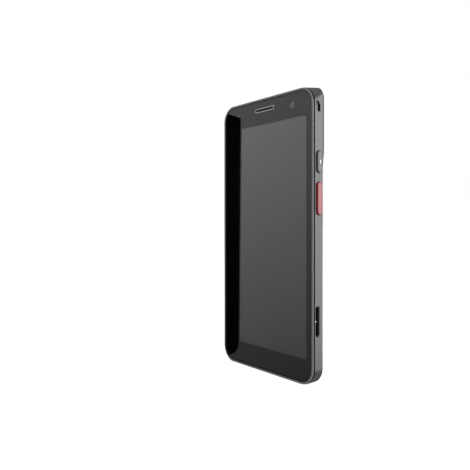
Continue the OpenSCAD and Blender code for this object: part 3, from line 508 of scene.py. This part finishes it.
@dataclass(frozen=True)
class SheetMetal(Finish):
    """Rolled, brushed or plated metal."""

    name: str
    colour: Colour
    roughness: float = 0.25
    lines: float = 9000.0
    line_depth: float = 0.15
    tarnish: float = 0.2

    def surface(self, t: Tree) -> Socket:
        """Builds the metal.

        Args:
            t: The material's tree.

        Returns:
            The shader socket.
        """
        brushed = group_node(t, brushed_lines(), {"Lines per metre": self.lines})
        marks = group_node(t, handling_marks(), {})
        clouds = t.remap(t.noise(300.0, 4.0), 0.4, 0.75, 0.0, self.tarnish)
        base = t.mix(clouds, self.colour, scaled(self.colour, 0.55))
        lines = t.remap(brushed.outputs["Height"], 0.3, 0.7, self.roughness * 0.8, self.roughness * 1.25)
        rough = t.math("ADD", lines, t.math("MULTIPLY", marks.outputs["Smears"], 0.08), clamp=True)
        bump = t.bump(brushed.outputs["Height"], self.line_depth, 0.00003)
        shader = t.add("ShaderNodeBsdfPrincipled", {
            "Base Color": base, "Metallic": 1.0, "Roughness": rough, "Normal": bump,
        })
        return shader.outputs["BSDF"]


@dataclass(frozen=True)
class SoftRubber(Finish):
    """Matt rubber or foam for seals and gaskets."""

    name: str
    colour: Colour = (0.012, 0.012, 0.013)
    roughness: float = 0.8

    def surface(self, t: Tree) -> Socket:
        """Builds the rubber.

        Args:
            t: The material's tree.

        Returns:
            The shader socket.
        """
        grain = group_node(t, moulded_grain(), {"Grains per metre": 5000.0})
        dust = group_node(t, settled_dust(), {"Amount": 0.35})
        base = t.mix(dust.outputs["Mask"], self.colour, (0.3, 0.29, 0.28))
        base = t.mix(t.remap(grain.outputs["Mottle"], 0.3, 0.7, 0.0, 0.5), base, scaled(self.colour, 1.6))
        bump = t.bump(grain.outputs["Height"], 0.2, 0.00004)
        shader = t.add("ShaderNodeBsdfPrincipled", {
            "Base Color": base, "Roughness": self.roughness, "Normal": bump,
            "Specular IOR Level": 0.3,
        })
        return shader.outputs["BSDF"]


@dataclass(frozen=True)
class ClearGlass(Finish):
    """Polished glass that lamps shine through, with faint smears."""

    name: str
    tint: Colour = (1.0, 1.0, 1.0)
    ior: float = 1.5
    roughness: float = 0.0

    def surface(self, t: Tree) -> Socket:
        """Builds the glass.

        Args:
            t: The material's tree.

        Returns:
            The shader socket.
        """
        marks = group_node(t, handling_marks(), {"Smears per metre": 45.0})
        rough = t.math("ADD", t.math("MULTIPLY", marks.outputs["Smears"], 0.015),
                       t.math("MULTIPLY", marks.outputs["Scratches"], 0.02))
        rough = t.math("ADD", rough, self.roughness)
        shader = t.add("ShaderNodeBsdfPrincipled", {
            "Base Color": (*self.tint, 1.0), "Roughness": rough, "IOR": self.ior,
            "Transmission Weight": 1.0,
        })
        through = t.add("ShaderNodeBsdfTransparent", {"Color": (*self.tint, 1.0)})
        shadow = t.add("ShaderNodeLightPath").outputs["Is Shadow Ray"]
        mixed = {0: shadow, 1: shader.outputs["BSDF"], 2: through.outputs["BSDF"]}
        return t.add("ShaderNodeMixShader", mixed).outputs["Shader"]


@dataclass(frozen=True)
class DisplayFace(Finish):
    """A dark display that is switched off, under its smooth polariser."""

    name: str
    colour: Colour = (0.006, 0.006, 0.007)
    ior: float = 1.9
    roughness: float = 0.03

    def surface(self, t: Tree) -> Socket:
        """Builds the display.

        Args:
            t: The material's tree.

        Returns:
            The shader socket.
        """
        film = t.remap(t.noise(30.0, 2.0), 0.3, 0.7, 0.0, 1.0)
        base = t.mix(film, scaled(self.colour, 0.7), scaled(self.colour, 1.3))
        clouds = t.remap(t.noise(30.0, 2.0), 0.3, 0.7, self.roughness - 0.02, self.roughness + 0.02)
        values = {"Base Color": base, "Roughness": clouds, "IOR": self.ior}
        return t.add("ShaderNodeBsdfPrincipled", values).outputs["BSDF"]


@dataclass(frozen=True)
class PrintedLabel(Finish):
    """A blank film label: a plain white head over a pale yellow field."""

    name: str
    head_above: float
    head: Colour = (0.86, 0.86, 0.87)
    field: Colour = (0.82, 0.83, 0.40)

    def surface(self, t: Tree) -> Socket:
        """Builds the label.

        Args:
            t: The material's tree.

        Returns:
            The shader socket.
        """
        z = t.split(t.place())[2]
        ink = t.math("GREATER_THAN", z, self.head_above)
        fibres = t.noise(2600.0, 4.0)
        shade = t.remap(fibres, 0.3, 0.7, 0.0, 1.0)
        field = t.mix(shade, scaled(self.field, 0.93), scaled(self.field, 1.04))
        base = t.mix(ink, field, self.head)
        stain = t.remap(t.noise(160.0, 4.0), 0.5, 0.8, 0.0, 0.14)
        base = t.mix(stain, base, (0.45, 0.44, 0.34))
        bump = t.bump(fibres, 0.08, 0.00004)
        shader = t.add("ShaderNodeBsdfPrincipled", {
            "Base Color": base, "Roughness": t.remap(fibres, 0.3, 0.7, 0.38, 0.5), "Normal": bump,
            "Coat Weight": 0.2, "Coat Roughness": 0.2,
        })
        return shader.outputs["BSDF"]


@dataclass(frozen=True)
class CircuitBoard(Finish):
    """Solder mask over copper tracks, with rows of pads."""

    name: str
    colour: Colour = (0.012, 0.09, 0.035)

    def surface(self, t: Tree) -> Socket:
        """Builds the board.

        Args:
            t: The material's tree.

        Returns:
            The shader socket.
        """
        place = t.place()
        turned = t.add("ShaderNodeMapping", {"Vector": place, "Rotation": (math.pi / 2, 0.0, 0.0)})
        tracks = t.add("ShaderNodeTexBrick", {
            "Vector": turned.outputs["Vector"], "Scale": 260.0, "Mortar Size": 0.03,
            "Color1": (0.0, 0.0, 0.0, 1.0), "Color2": (0.3, 0.3, 0.3, 1.0),
            "Mortar": (1.0, 1.0, 1.0, 1.0),
        })
        base = t.mix(tracks.outputs["Color"], self.colour, scaled(self.colour, 2.4))
        shader = t.add("ShaderNodeBsdfPrincipled", {
            "Base Color": base, "Roughness": t.remap(t.noise(600.0, 2.0), 0.3, 0.7, 0.25, 0.4),
        })
        return shader.outputs["BSDF"]


@dataclass(frozen=True)
class WovenMesh(Finish):
    """Fine black mesh over a sound opening."""

    name: str
    threads: float = 9000.0

    def surface(self, t: Tree) -> Socket:
        """Builds the mesh.

        Args:
            t: The material's tree.

        Returns:
            The shader socket.
        """
        x, _, z = t.split(t.place())
        over = t.math("SINE", t.math("MULTIPLY", x, self.threads))
        under = t.math("SINE", t.math("MULTIPLY", z, self.threads))
        weave = t.math("MULTIPLY", over, under)
        base = t.mix(t.remap(weave, -1.0, 1.0, 0.0, 1.0), (0.003, 0.003, 0.003), (0.03, 0.03, 0.032))
        bump = t.bump(weave, 0.5, 0.00005)
        shader = t.add("ShaderNodeBsdfPrincipled", {"Base Color": base, "Roughness": 0.5, "Normal": bump})
        return shader.outputs["BSDF"]


# ---------------------------------------------------------------- dressing carried-over parts


WELD_REACH = 0.000002
FLAT_ANGLE = math.radians(0.4)
EDGE_ANGLE = math.radians(30)
SPOT_ROOM = 1.5


def soften(node: str, edge: Edge, segments: int = 3, beyond: Optional[float] = None) -> None:
    """Rounds a carried-over part's edges and smooths its curved faces, without changing its mesh.

    Args:
        node: The part's name.
        edge: How far the edges are rounded.
        segments: How many steps a rounded edge has.
        beyond: Only edges this many millimetres or more from the middle plane are rounded, when given.
    """
    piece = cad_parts[node]
    mesh = piece.data
    for name in ("custom_normal", "sharp_edge", "sharp_face"):
        if name in mesh.attributes:
            mesh.attributes.remove(mesh.attributes[name])
    mesh.polygons.foreach_set("use_smooth", [True] * len(mesh.polygons))
    weld = piece.modifiers.new("weld", "WELD")
    weld.merge_threshold = WELD_REACH
    flats = piece.modifiers.new("flats", "DECIMATE")
    flats.decimate_type = "DISSOLVE"
    flats.angle_limit = FLAT_ANGLE
    bevel = piece.modifiers.new("edges", "BEVEL")
    bevel.width = edge.value * MM
    bevel.segments = segments
    bevel.limit_method = "ANGLE"
    bevel.angle_limit = EDGE_ANGLE
    bevel.use_clamp_overlap = True
    bevel.miter_outer = "MITER_ARC"
    if beyond is not None:
        outer = piece.vertex_groups.new(name="outer_edge")
        low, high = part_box(node)
        middle = (low + high) / 2
        far = [v.index for v in mesh.vertices if abs(v.co.x) > beyond * MM
               and math.hypot(v.co.y - middle.y, v.co.z - middle.z) > SPOT_ROOM * MM]
        outer.add(far, 1.0, "REPLACE")
        bevel.limit_method = "VGROUP"
        bevel.vertex_group = outer.name
        bevel.use_clamp_overlap = False
    normals = piece.modifiers.new("normals", "WEIGHTED_NORMAL")
    normals.keep_sharp = True


def dress(
    node: str, finish: Finish, edge: Edge = Edge.FINE, segments: int = 2, beyond: Optional[float] = None
) -> None:
    """Gives a carried-over part its finish and its rounded edges.

    Args:
        node: The part's name.
        finish: The finish.
        edge: How far the edges are rounded.
        segments: How many steps a rounded edge has.
        beyond: Only edges this many millimetres or more from the middle plane are rounded, when given.
    """
    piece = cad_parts[node]
    piece.data.materials.clear()
    piece.data.materials.append(finish.material())
    soften(node, edge, segments, beyond)
    LOG.info("dressed %s in %s", node, finish.name)


# ---------------------------------------------------------------- finishes of this object

BAND = MouldedPlastic("band_plastic", (0.055, 0.056, 0.059), roughness=0.38, grain_depth=0.08, wear=0.25)
LIP = MouldedPlastic("lip_plastic", (0.23, 0.232, 0.24), roughness=0.42, grain_depth=0.05, wear=0.4)
SHELL = MouldedPlastic("rear_shell_plastic", (0.05, 0.0505, 0.053), grain_depth=0.16, wear=0.3)
KEY_GREY = MouldedPlastic("grey_key_plastic", (0.07, 0.071, 0.075), roughness=0.38, grain_depth=0.05)
INNER_BLACK = MouldedPlastic("inner_black_plastic", (0.018, 0.018, 0.019), roughness=0.5, wear=0.15)
RESIN = MouldedPlastic("connector_resin", (0.6, 0.56, 0.45), roughness=0.5, wear=0.1)
KEY_RED = GlossyPlastic(
    "red_key_plastic", (0.27, 0.007, 0.014), roughness=0.3, coat=0.1, depth_colour=(0.5, 0.04, 0.05)
)
MODULE = GlossyPlastic("module_plastic", (0.02, 0.02, 0.023), roughness=0.18)
PLATE = GlossyPlastic("camera_plate_plastic", (0.012, 0.012, 0.013), roughness=0.6, coat=0.0, level=0.15)
MILKY = GlossyPlastic("smoked_light_guide", (0.05, 0.052, 0.055), roughness=0.35)
FROSTED = GlossyPlastic("frosted_flash_cover", (0.75, 0.75, 0.73), roughness=0.3)
PHOSPHOR = GlossyPlastic("flash_phosphor", (0.8, 0.66, 0.12), roughness=0.4)
RUBBER = SoftRubber("black_rubber")
STEEL = SheetMetal("rolled_steel", (0.66, 0.66, 0.67), roughness=0.22)
BRIGHT = SheetMetal("bright_plated_steel", (0.86, 0.86, 0.87), roughness=0.12, line_depth=0.05)
SATIN = SheetMetal("satin_plated_steel", (0.9, 0.9, 0.9), roughness=0.5, line_depth=0.05)
DARK_STEEL = SheetMetal("black_zinc_steel", (0.22, 0.22, 0.24), roughness=0.35)
GOLD = SheetMetal("gold_flash", (0.85, 0.62, 0.25), roughness=0.2)
COPPER = SheetMetal("copper_film", (0.75, 0.4, 0.2), roughness=0.3)
FOIL = SheetMetal("cell_foil", (0.6, 0.61, 0.63), roughness=0.35)
FLEX = GlossyPlastic("amber_flex", (0.45, 0.17, 0.02), roughness=0.3)
BOARD = CircuitBoard("board_mask")
MESH = WovenMesh("black_mesh")
COVER_GLASS = ClearGlass("cover_glass")
LENS = ClearGlass("lens_glass", tint=(0.9, 0.93, 0.96))
SCAN_GLASS = ClearGlass("scan_window_glass", tint=(0.35, 0.08, 0.1))
DISPLAY = DisplayFace("display_face")


# ---------------------------------------------------------------- stage


@dataclass
class Studio:
    """Camera, floor, soft lights and reflector cards."""

    lens_mm: float = 39.6
    sensor_mm: float = 36.0
    azimuth: float = 51.3
    eye: Point3 = (0.2146, -0.2012, 0.0834)
    shift: float = -0.0265957447
    ambient: float = 0.3
    target: Point3 = (0.0, 0.0, 0.08)
    floor_half: float = 6.0
    floor_glow: float = 0.86
    card_ends: Tuple[Point2, Point2] = ((-1.25, 0.0), (-0.1, -1.15))
    card_heights: Point2 = (-0.7, 0.9)
    glow_heights: Point2 = (-0.3, 0.4)
    glow_strengths: Point2 = (0.2, 0.72)
    flag_heights: Point2 = (-0.003, 0.154)
    flag_reach: Point2 = (-0.0100, -0.0341)
    flag_flare: float = 0.0024
    flag_corner: float = 0.006
    flag_steps: int = 8
    flag_foot: Point2 = (-0.0556, -0.0367)
    flag_lean: float = 0.296875

    def camera(self) -> None:
        """Sets the camera at the object's right-hand front, level with its middle."""
        data = bpy.data.cameras.new("camera")
        data.sensor_width = self.sensor_mm
        data.lens = self.lens_mm
        data.shift_y = self.shift
        data.clip_start, data.clip_end = 0.01, 20.0
        camera = bpy.data.objects.new("camera", data)
        camera.location = self.eye
        camera.rotation_euler = (math.pi / 2, 0.0, math.radians(self.azimuth))
        bpy.context.scene.collection.objects.link(camera)
        bpy.context.scene.camera = camera

    def sheet(self, name: str, corners: Sequence[Point3], shader: Callable[[Tree], Socket]) -> Piece:
        """Makes one flat sheet of the stage.

        Args:
            name: The sheet's name.
            corners: Its corners in order.
            shader: Builds its surface in a tree.

        Returns:
            The sheet.
        """
        mesh = bpy.data.meshes.new(name)
        mesh.from_pydata([Vector(c) for c in corners], [], [tuple(range(len(corners)))])
        paint = bpy.data.materials.new(name + "_paint")
        paint.use_nodes = True
        paint.node_tree.nodes.clear()
        tree = Tree(paint.node_tree)
        tree.feed(tree.add("ShaderNodeOutputMaterial"), "Surface", shader(tree))
        mesh.materials.append(paint)
        sheet = bpy.data.objects.new(name, mesh)
        bpy.context.scene.collection.objects.link(sheet)
        return sheet

    def mirrored_only(self, sheet: Piece) -> None:
        """Leaves a sheet to be seen only in what mirrors it."""
        sheet.visible_camera = sheet.visible_diffuse = sheet.visible_shadow = False

    def floor_paint(self, t: Tree) -> Socket:
        """Builds the floor's matt white, which glows to the camera alone.

        Args:
            t: The material's tree.

        Returns:
            The shader socket.
        """
        matt = t.add("ShaderNodeBsdfDiffuse", {"Color": (0.9, 0.9, 0.9, 1.0)})
        glow = t.add("ShaderNodeEmission", {"Color": (1.0, 1.0, 1.0, 1.0), "Strength": self.floor_glow})
        both = t.add("ShaderNodeAddShader", {0: matt.outputs[0], 1: glow.outputs[0]})
        seen = t.add("ShaderNodeLightPath").outputs["Is Camera Ray"]
        return t.add("ShaderNodeMixShader", {0: seen, 1: matt.outputs[0], 2: both.outputs[0]}).outputs[0]

    def reflector_glow(self, t: Tree) -> Socket:
        """Builds the reflector's light, which is brighter at its top.

        Args:
            t: The material's tree.

        Returns:
            The shader socket.
        """
        strength = t.remap(t.split(t.place())[2], *self.glow_heights, *self.glow_strengths)
        values = {"Color": (0.98, 0.99, 1.0, 1.0), "Strength": strength}
        return t.add("ShaderNodeEmission", values).outputs[0]

    def black(self, t: Tree) -> Socket:
        """Builds the flag's matt black."""
        return t.add("ShaderNodeBsdfDiffuse", {"Color": (0.001, 0.001, 0.001, 1.0)}).outputs[0]

    def floor(self) -> None:
        """Lays the pale floor, which runs into the white surroundings."""
        half = self.floor_half
        corners = [(-half, -half, 0.0), (half, -half, 0.0), (half, half, 0.0), (-half, half, 0.0)]
        floor = self.sheet("floor", corners, self.floor_paint)
        floor.visible_glossy = False
        floor.visible_transmission = False

    def reflector(self) -> None:
        """Stands a pale card front left, brighter at its top, for the glass to mirror."""
        (x0, y0), (x1, y1) = self.card_ends
        low, high = self.card_heights
        corners = [(x0, y0, low), (x1, y1, low), (x1, y1, high), (x0, y0, high)]
        self.mirrored_only(self.sheet("reflector", corners, self.reflector_glow))

    def flag(self) -> None:
        """Stands a narrow black flag beside the glass, for a dark streak along its left edge."""
        (low, high), (near, far), r = self.flag_heights, self.flag_reach, self.flag_corner
        outline = [(near, low), (near, high), (far - self.flag_flare, high)]
        for step in range(self.flag_steps + 1):
            a = math.pi + math.pi / 2 * step / self.flag_steps
            outline.append((far + r + r * math.cos(a), low + r + r * math.sin(a)))
        x, y = self.flag_foot
        corners = [(x + self.flag_lean * (across - y), across, up) for across, up in outline]
        self.mirrored_only(self.sheet("flag", corners, self.black))

    def lamp(self, name: str, where: Point3, size: Point2, power: float) -> None:
        """Hangs a soft rectangular lamp that faces the object's middle.

        Args:
            name: The lamp's name.
            where: Its place.
            size: Its width and height.
            power: Its power in watts.
        """
        data = bpy.data.lights.new(name, "AREA")
        data.shape = "RECTANGLE"
        data.size, data.size_y = size
        data.energy = power
        lamp = bpy.data.objects.new(name, data)
        lamp.location = where
        aim = Vector(self.target) - Vector(where)
        lamp.rotation_euler = aim.to_track_quat("-Z", "Y").to_euler()
        lamp.visible_camera = False
        bpy.context.scene.collection.objects.link(lamp)

    def world(self) -> None:
        """Makes the plain white surroundings, which light the object only a little."""
        world = bpy.data.worlds.new("surroundings")
        world.use_nodes = True
        world.node_tree.nodes.clear()
        t = Tree(world.node_tree)
        white = t.add("ShaderNodeBackground", {"Color": (1.0, 1.0, 1.0, 1.0), "Strength": 1.0})
        dim = t.add("ShaderNodeBackground", {"Color": (1.0, 1.0, 1.0, 1.0), "Strength": self.ambient})
        seen = t.add("ShaderNodeLightPath").outputs["Is Camera Ray"]
        both = t.add("ShaderNodeMixShader", {0: seen, 1: dim.outputs[0], 2: white.outputs[0]})
        t.feed(t.add("ShaderNodeOutputWorld"), "Surface", both.outputs[0])
        bpy.context.scene.world = world
        bpy.context.scene.view_settings.view_transform = "Standard"

    def build(self) -> None:
        """Sets up the whole stage."""
        self.camera()
        self.floor()
        self.reflector()
        self.flag()
        self.world()
        self.lamp("right_back_softbox", (0.78, 0.62, 0.14), (0.8, 0.9), 13.0)
        self.lamp("top_softbox", (0.0, -0.1, 1.1), (0.8, 0.8), 4.0)


# ---------------------------------------------------------------- flat pieces


def stadium(length: float, width: float, centre: Point2 = (0.0, 0.0), steps: int = 16) -> List[Point2]:
    """Draws a slot's outline, a rectangle with round ends.

    Args:
        length: Its length, in millimetres.
        width: Its width, in millimetres.
        centre: Its middle.
        steps: How many steps each round end has.

    Returns:
        The outline, anticlockwise.
    """
    r = width / 2
    points = []
    for side in (1, -1):
        for i in range(steps + 1):
            a = math.pi * i / steps - math.pi / 2
            across = length / 2 - r + r * math.cos(a)
            points.append((centre[0] + side * across, centre[1] + side * r * math.sin(a)))
    return points


def rounded(
    width: float, height: float, radius: float, centre: Point2 = (0.0, 0.0), steps: int = 10
) -> List[Point2]:
    """Draws a rounded rectangle's outline.

    Args:
        width: Its width, in millimetres.
        height: Its height, in millimetres.
        radius: Its corners' radius, in millimetres.
        centre: Its middle.
        steps: How many steps each corner has.

    Returns:
        The outline, anticlockwise.
    """
    points = []
    for quarter, (sx, sz) in enumerate(((1, 1), (-1, 1), (-1, -1), (1, -1))):
        for i in range(steps + 1):
            a = math.pi / 2 * (quarter + i / steps)
            points.append((centre[0] + sx * (width / 2 - radius) + radius * math.cos(a),
                           centre[1] + sz * (height / 2 - radius) + radius * math.sin(a)))
    return points


def plate(name: str, outlines: Sequence[Sequence[Point2]], front: float, back: float) -> Piece:
    """Cuts a flat plate that stands upright, with a hole for each outline inside another.

    Args:
        name: The piece's name.
        outlines: Closed outlines in x and z, in millimetres.
        front: The front face's y, in millimetres.
        back: The back face's y, in millimetres.

    Returns:
        The plate.
    """
    curve = bpy.data.curves.new(name, "CURVE")
    curve.dimensions = "2D"
    curve.fill_mode = "BOTH"
    curve.extrude = (back - front) / 2 * MM
    for outline in outlines:
        spline = curve.splines.new("POLY")
        spline.points.add(len(outline) - 1)
        for point, (x, z) in zip(spline.points, outline):
            point.co = (x * MM, z * MM, 0.0, 1.0)
        spline.use_cyclic_u = True
    drawn = bpy.data.objects.new(name + "_outline", curve)
    bpy.context.scene.collection.objects.link(drawn)
    bpy.context.view_layer.update()
    mesh = bpy.data.meshes.new_from_object(drawn.evaluated_get(bpy.context.evaluated_depsgraph_get()))
    bpy.data.objects.remove(drawn)
    bpy.data.curves.remove(curve)
    stood = Matrix.Rotation(math.pi / 2, 4, "X")
    mesh.transform(Matrix.Translation((0.0, (front + back) / 2 * MM, 0.0)) @ stood)
    mesh.name = name
    piece = bpy.data.objects.new(name, mesh)
    bpy.context.scene.collection.objects.link(piece)
    return piece


def finished(piece: Piece, finish: Finish, body: Body) -> Piece:
    """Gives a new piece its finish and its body.

    Args:
        piece: The piece.
        finish: Its finish.
        body: The body it rides on.

    Returns:
        The piece.
    """
    piece.data.materials.clear()
    piece.data.materials.append(finish.material())
    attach(piece, body.value)
    LOG.info("made %s in %s on %s", piece.name, finish.name, body.value)
    return piece


# ---------------------------------------------------------------- sub-assemblies


@dataclass(frozen=True)
class InkBorder(Finish):
    """Black ceramic ink printed on the back of the glass."""

    name: str = "border_ink"
    colour: Colour = (0.004, 0.004, 0.0045)
    roughness: float = 0.9
    level: float = 0.0

    def surface(self, t: Tree) -> Socket:
        """Builds the ink.

        Args:
            t: The material's tree.

        Returns:
            The shader socket.
        """
        base = t.mix(t.noise(900.0, 3.0), scaled(self.colour, 0.7), scaled(self.colour, 1.5))
        shader = t.add("ShaderNodeBsdfPrincipled", {
            "Base Color": base, "Roughness": self.roughness, "Specular IOR Level": self.level,
        })
        return shader.outputs["BSDF"]


@dataclass(frozen=True)
class GlintPaintedPlastic(Finish):
    """Satin key plastic with a painted highlight: a white pip painted on its raised spot where light
    glints.
    """

    name: str
    colour: Colour
    y: float
    z: float
    face: float
    pip: Tuple[float, float] = (0.45, 1.0)
    white: Colour = (0.9, 0.9, 0.88)

    def surface(self, t: Tree) -> Socket:
        """Builds the plastic and its painted highlight pip.

        Args:
            t: The material's tree.

        Returns:
            The shader socket.
        """
        x, y, z = t.split(t.place())
        grain = group_node(t, moulded_grain(), {"Grains per metre": 3500.0})
        across = t.math("DIVIDE", t.math("SUBTRACT", y, self.y * MM), self.pip[0] * MM)
        along = t.math("DIVIDE", t.math("SUBTRACT", z, self.z * MM), self.pip[1] * MM)
        reach = t.reach(across, along)
        # The white pip is a painted highlight, the glint of light on the raised spot, not a printed mark.
        glint_mask = t.remap(reach, 0.95, 1.05, 1.0, 0.0)
        glint_mask = t.math("MULTIPLY", glint_mask, t.math("GREATER_THAN", x, (self.face - 0.06) * MM))
        base = t.mix(grain.outputs["Mottle"], scaled(self.colour, 0.93), scaled(self.colour, 1.07))
        base = t.mix(glint_mask, base, self.white)
        bump = t.bump(grain.outputs["Height"], 0.05, 0.00004)
        shader = t.add("ShaderNodeBsdfPrincipled", {"Base Color": base, "Roughness": 0.38, "Normal": bump})
        return shader.outputs["BSDF"]


@dataclass(frozen=True)
class TapShell(MouldedPlastic):
    """The shell's plastic with a generic tap mark, a ring and short rays, printed on the bump."""

    mark: Tuple[float, float, float] = (-1.0, 140.3, 8.4)
    ring: Tuple[float, float] = (1.6, 2.1)
    rays: Tuple[float, float] = (2.9, 4.3)
    ray_count: float = 8.0
    paint: Colour = (0.3, 0.3, 0.31)

    def surface(self, t: Tree) -> Socket:
        """Builds the printed plastic.

        Args:
            t: The material's tree.

        Returns:
            The shader socket.
        """
        plain = super().surface(t)
        x, y, z = t.split(t.place())
        across = t.math("SUBTRACT", x, self.mark[0] * MM)
        up = t.math("SUBTRACT", z, self.mark[1] * MM)
        reach = t.reach(across, up)
        reach = t.math("DIVIDE", reach, MM)
        turn = t.math("MULTIPLY", t.math("ARCTAN2", up, across), self.ray_count / (2 * math.pi))
        beam = t.math("LESS_THAN", t.math("ABSOLUTE", t.math("SUBTRACT", t.math("FRACT", turn), 0.5)), 0.14)
        ring = t.between(reach, *self.ring)
        band = t.between(reach, *self.rays)
        printed = t.math("MAXIMUM", ring, t.math("MULTIPLY", band, beam))
        printed = t.math("MULTIPLY", printed, t.math("GREATER_THAN", y, self.mark[2] * MM))
        ink = t.add("ShaderNodeBsdfPrincipled", {"Base Color": (*self.paint, 1.0), "Roughness": 0.45})
        mixed = {0: printed, 1: plain, 2: ink.outputs["BSDF"]}
        return t.add("ShaderNodeMixShader", mixed).outputs["Shader"]


TAP_SHELL = TapShell("printed_shell_plastic", SHELL.colour, SHELL.roughness, grain_depth=0.16, wear=0.3)


@dataclass
class FrontAssembly:
    """Lip, glass, display and what looks through the glass."""

    picture: Tuple[float, float] = (62.5, 124.9)
    picture_z: float = 75.85
    ink_depth: float = 1.285
    eye_r: float = 1.6
    light_r: float = 0.6
    seal_w: float = 0.35
    seal_t: float = 0.02
    seal_gap: float = 0.09
    ink_t: float = 0.01

    def ink(self) -> None:
        """Prints the border behind the glass, with its clear openings."""
        low, high = (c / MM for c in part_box("cover_glass"))
        eye = [sum(c) / 2 / MM for c in zip(*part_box("front_camera"))]
        light = [sum(c) / 2 / MM for c in zip(*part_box("status_light"))]
        slot_low, slot_high = (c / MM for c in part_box("earpiece_trim"))
        slot = slot_high - slot_low
        outer = rounded(high.x - low.x, high.z - low.z, 7.4, (0.0, (low.z + high.z) / 2))
        openings = [
            rounded(*self.picture, 1.2, (0.0, self.picture_z)),
            stadium(2 * self.eye_r + 0.001, 2 * self.eye_r, (eye[0], eye[2])),
            stadium(2 * self.light_r + 0.001, 2 * self.light_r, (light[0], light[2])),
            stadium(slot.x, slot.z, (0.0, (slot_low.z + slot_high.z) / 2)),
        ]
        y = FRONT_Y + self.ink_depth
        ink = InkBorder(roughness=0.05, level=0.5)
        finished(plate("border_ink", [outer, *openings], y, y + self.ink_t), ink, Body.HANDSET)

    def seal(self) -> None:
        """Lays the black seal that hides the gap between the glass and the lip."""
        low, high = (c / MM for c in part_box("cover_glass"))
        width, height, middle = high.x - low.x, high.z - low.z, (low.z + high.z) / 2
        outer = rounded(width + 2 * self.seal_gap, height + 2 * self.seal_gap, 7.7, (0.0, middle))
        inner = rounded(width - 2 * self.seal_w, height - 2 * self.seal_w, 7.3, (0.0, middle))
        seal = plate("glass_seal", [outer, inner], low.y - self.seal_t, low.y)
        finished(seal, InkBorder(), Body.HANDSET)

    def build(self) -> None:
        """Dresses the front."""
        dress("front_bezel", LIP, Edge.ROUND, 3)
        dress("bezel_gasket", InkBorder("gasket_black", (0.002, 0.002, 0.002)), Edge.CRISP)
        dress("glass_adhesive", InkBorder("adhesive_black"), Edge.CRISP, 1)
        dress("cover_glass", COVER_GLASS, Edge.SOFT, 3)
        dress("lcd_panel", DISPLAY, Edge.SOFT)
        dress("display_flex", FLEX, Edge.CRISP, 1)
        dress("earpiece_trim", STEEL, Edge.SOFT, 3)
        dress("earpiece_mesh", MESH, Edge.CRISP, 1)
        dress("earpiece_speaker", MODULE)
        dress("front_camera", MODULE)
        dress("status_light", MILKY)
        self.ink()
        self.seal()


@dataclass
class Chassis:
    """Side band and what sits in it."""

    def build(self) -> None:
        """Dresses the band."""
        dress("mid_frame", BAND, Edge.SOFT, 3)
        dress("lanyard_pins", DARK_STEEL)
        dress("side_port_insert", INNER_BLACK, Edge.CRISP)
        dress("side_port_contacts", GOLD, Edge.CRISP)
        dress("detent_ball", BRIGHT, Edge.CRISP)
        dress("rocker_pin", DARK_STEEL)
        dress("usb_connector", STEEL, Edge.CRISP)
        dress("usb_tongue", INNER_BLACK, Edge.CRISP)


@dataclass
class Keys:
    """The keys on both sides."""

    face: float = 37.6

    def build(self) -> None:
        """Dresses the keys."""
        low, high = (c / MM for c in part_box("power_key"))
        middle = (low + high) / 2
        # The power key's white pip is a painted highlight.
        pip = GlintPaintedPlastic("power_key_plastic", KEY_GREY.colour, middle.y, middle.z, high.x)
        dress("power_key", pip, Edge.CROWN, 5, self.face)
        dress("volume_rocker", KEY_GREY, Edge.CROWN, 5, self.face)
        dress("scan_key_left", KEY_RED, Edge.CROWN, 5, self.face)
        dress("scan_key_right", KEY_RED, Edge.CROWN, 5, self.face)


@dataclass
class Back:
    """Rear cover, camera, label, contacts and strap slots."""

    def build(self) -> None:
        """Dresses the back."""
        low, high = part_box("blank_label")
        label = PrintedLabel("label_print", low.z + 0.76 * (high.z - low.z))
        dress("rear_cover", TAP_SHELL, Edge.SOFT)
        dress("camera_window", PLATE, Edge.SOFT)
        dress("camera_lens", LENS, Edge.SOFT)
        dress("flash_lens", FROSTED, Edge.SOFT)
        dress("rear_camera", MODULE)
        dress("flash_led", PHOSPHOR)
        dress("strap_clip", SATIN)
        dress("accessory_contacts", BRIGHT, Edge.SOFT, 3)
        dress("blank_label", label, Edge.CRISP)
        dress("scan_window", SCAN_GLASS)
        dress("scan_window_gasket", RUBBER, Edge.CRISP)


@dataclass
class Electronics:
    """Everything inside the handset."""

    def build(self) -> None:
        """Dresses the electronics."""
        finishes = {
            "scan_engine": MODULE, "engine_lenses": LENS, "main_board": BOARD, "board_shields": STEEL,
            "nfc_coil": COPPER, "interconnect_flex": FLEX, "lower_board": BOARD, "loudspeaker": MODULE,
            "speaker_mesh": MESH, "vibration_motor": STEEL, "microphones": GOLD, "battery_connector": RESIN,
            "sim_holder": STEEL, "switch_board_left": BOARD, "switch_board_right": BOARD,
            "cover_screws": DARK_STEEL,
        }
        for node, finish in finishes.items():
            dress(node, finish)


@dataclass
class BatteryPack:
    """The battery and its latch."""

    def build(self) -> None:
        """Dresses the battery and the latch."""
        dress("battery_cover", SHELL, Edge.SOFT)
        dress("battery_case", INNER_BLACK)
        dress("battery_cell", FOIL)
        dress("battery_contacts", GOLD)
        dress("battery_seal", RUBBER, Edge.CRISP)
        dress("latch_guide", STEEL, Edge.CRISP)
        dress("latch_spring", BRIGHT, Edge.CRISP)
        dress("latch_tab", SHELL, Edge.SOFT)
        dress("latch_tongue", STEEL)


def main() -> None:
    """Builds the stage and every sub-assembly."""
    logging.basicConfig(level=logging.INFO, format="%(name)s: %(message)s")
    for part in (Studio(), FrontAssembly(), Chassis(), Keys(), Back(), Electronics(), BatteryPack()):
        part.build()


if __name__ == "__main__":
    main()
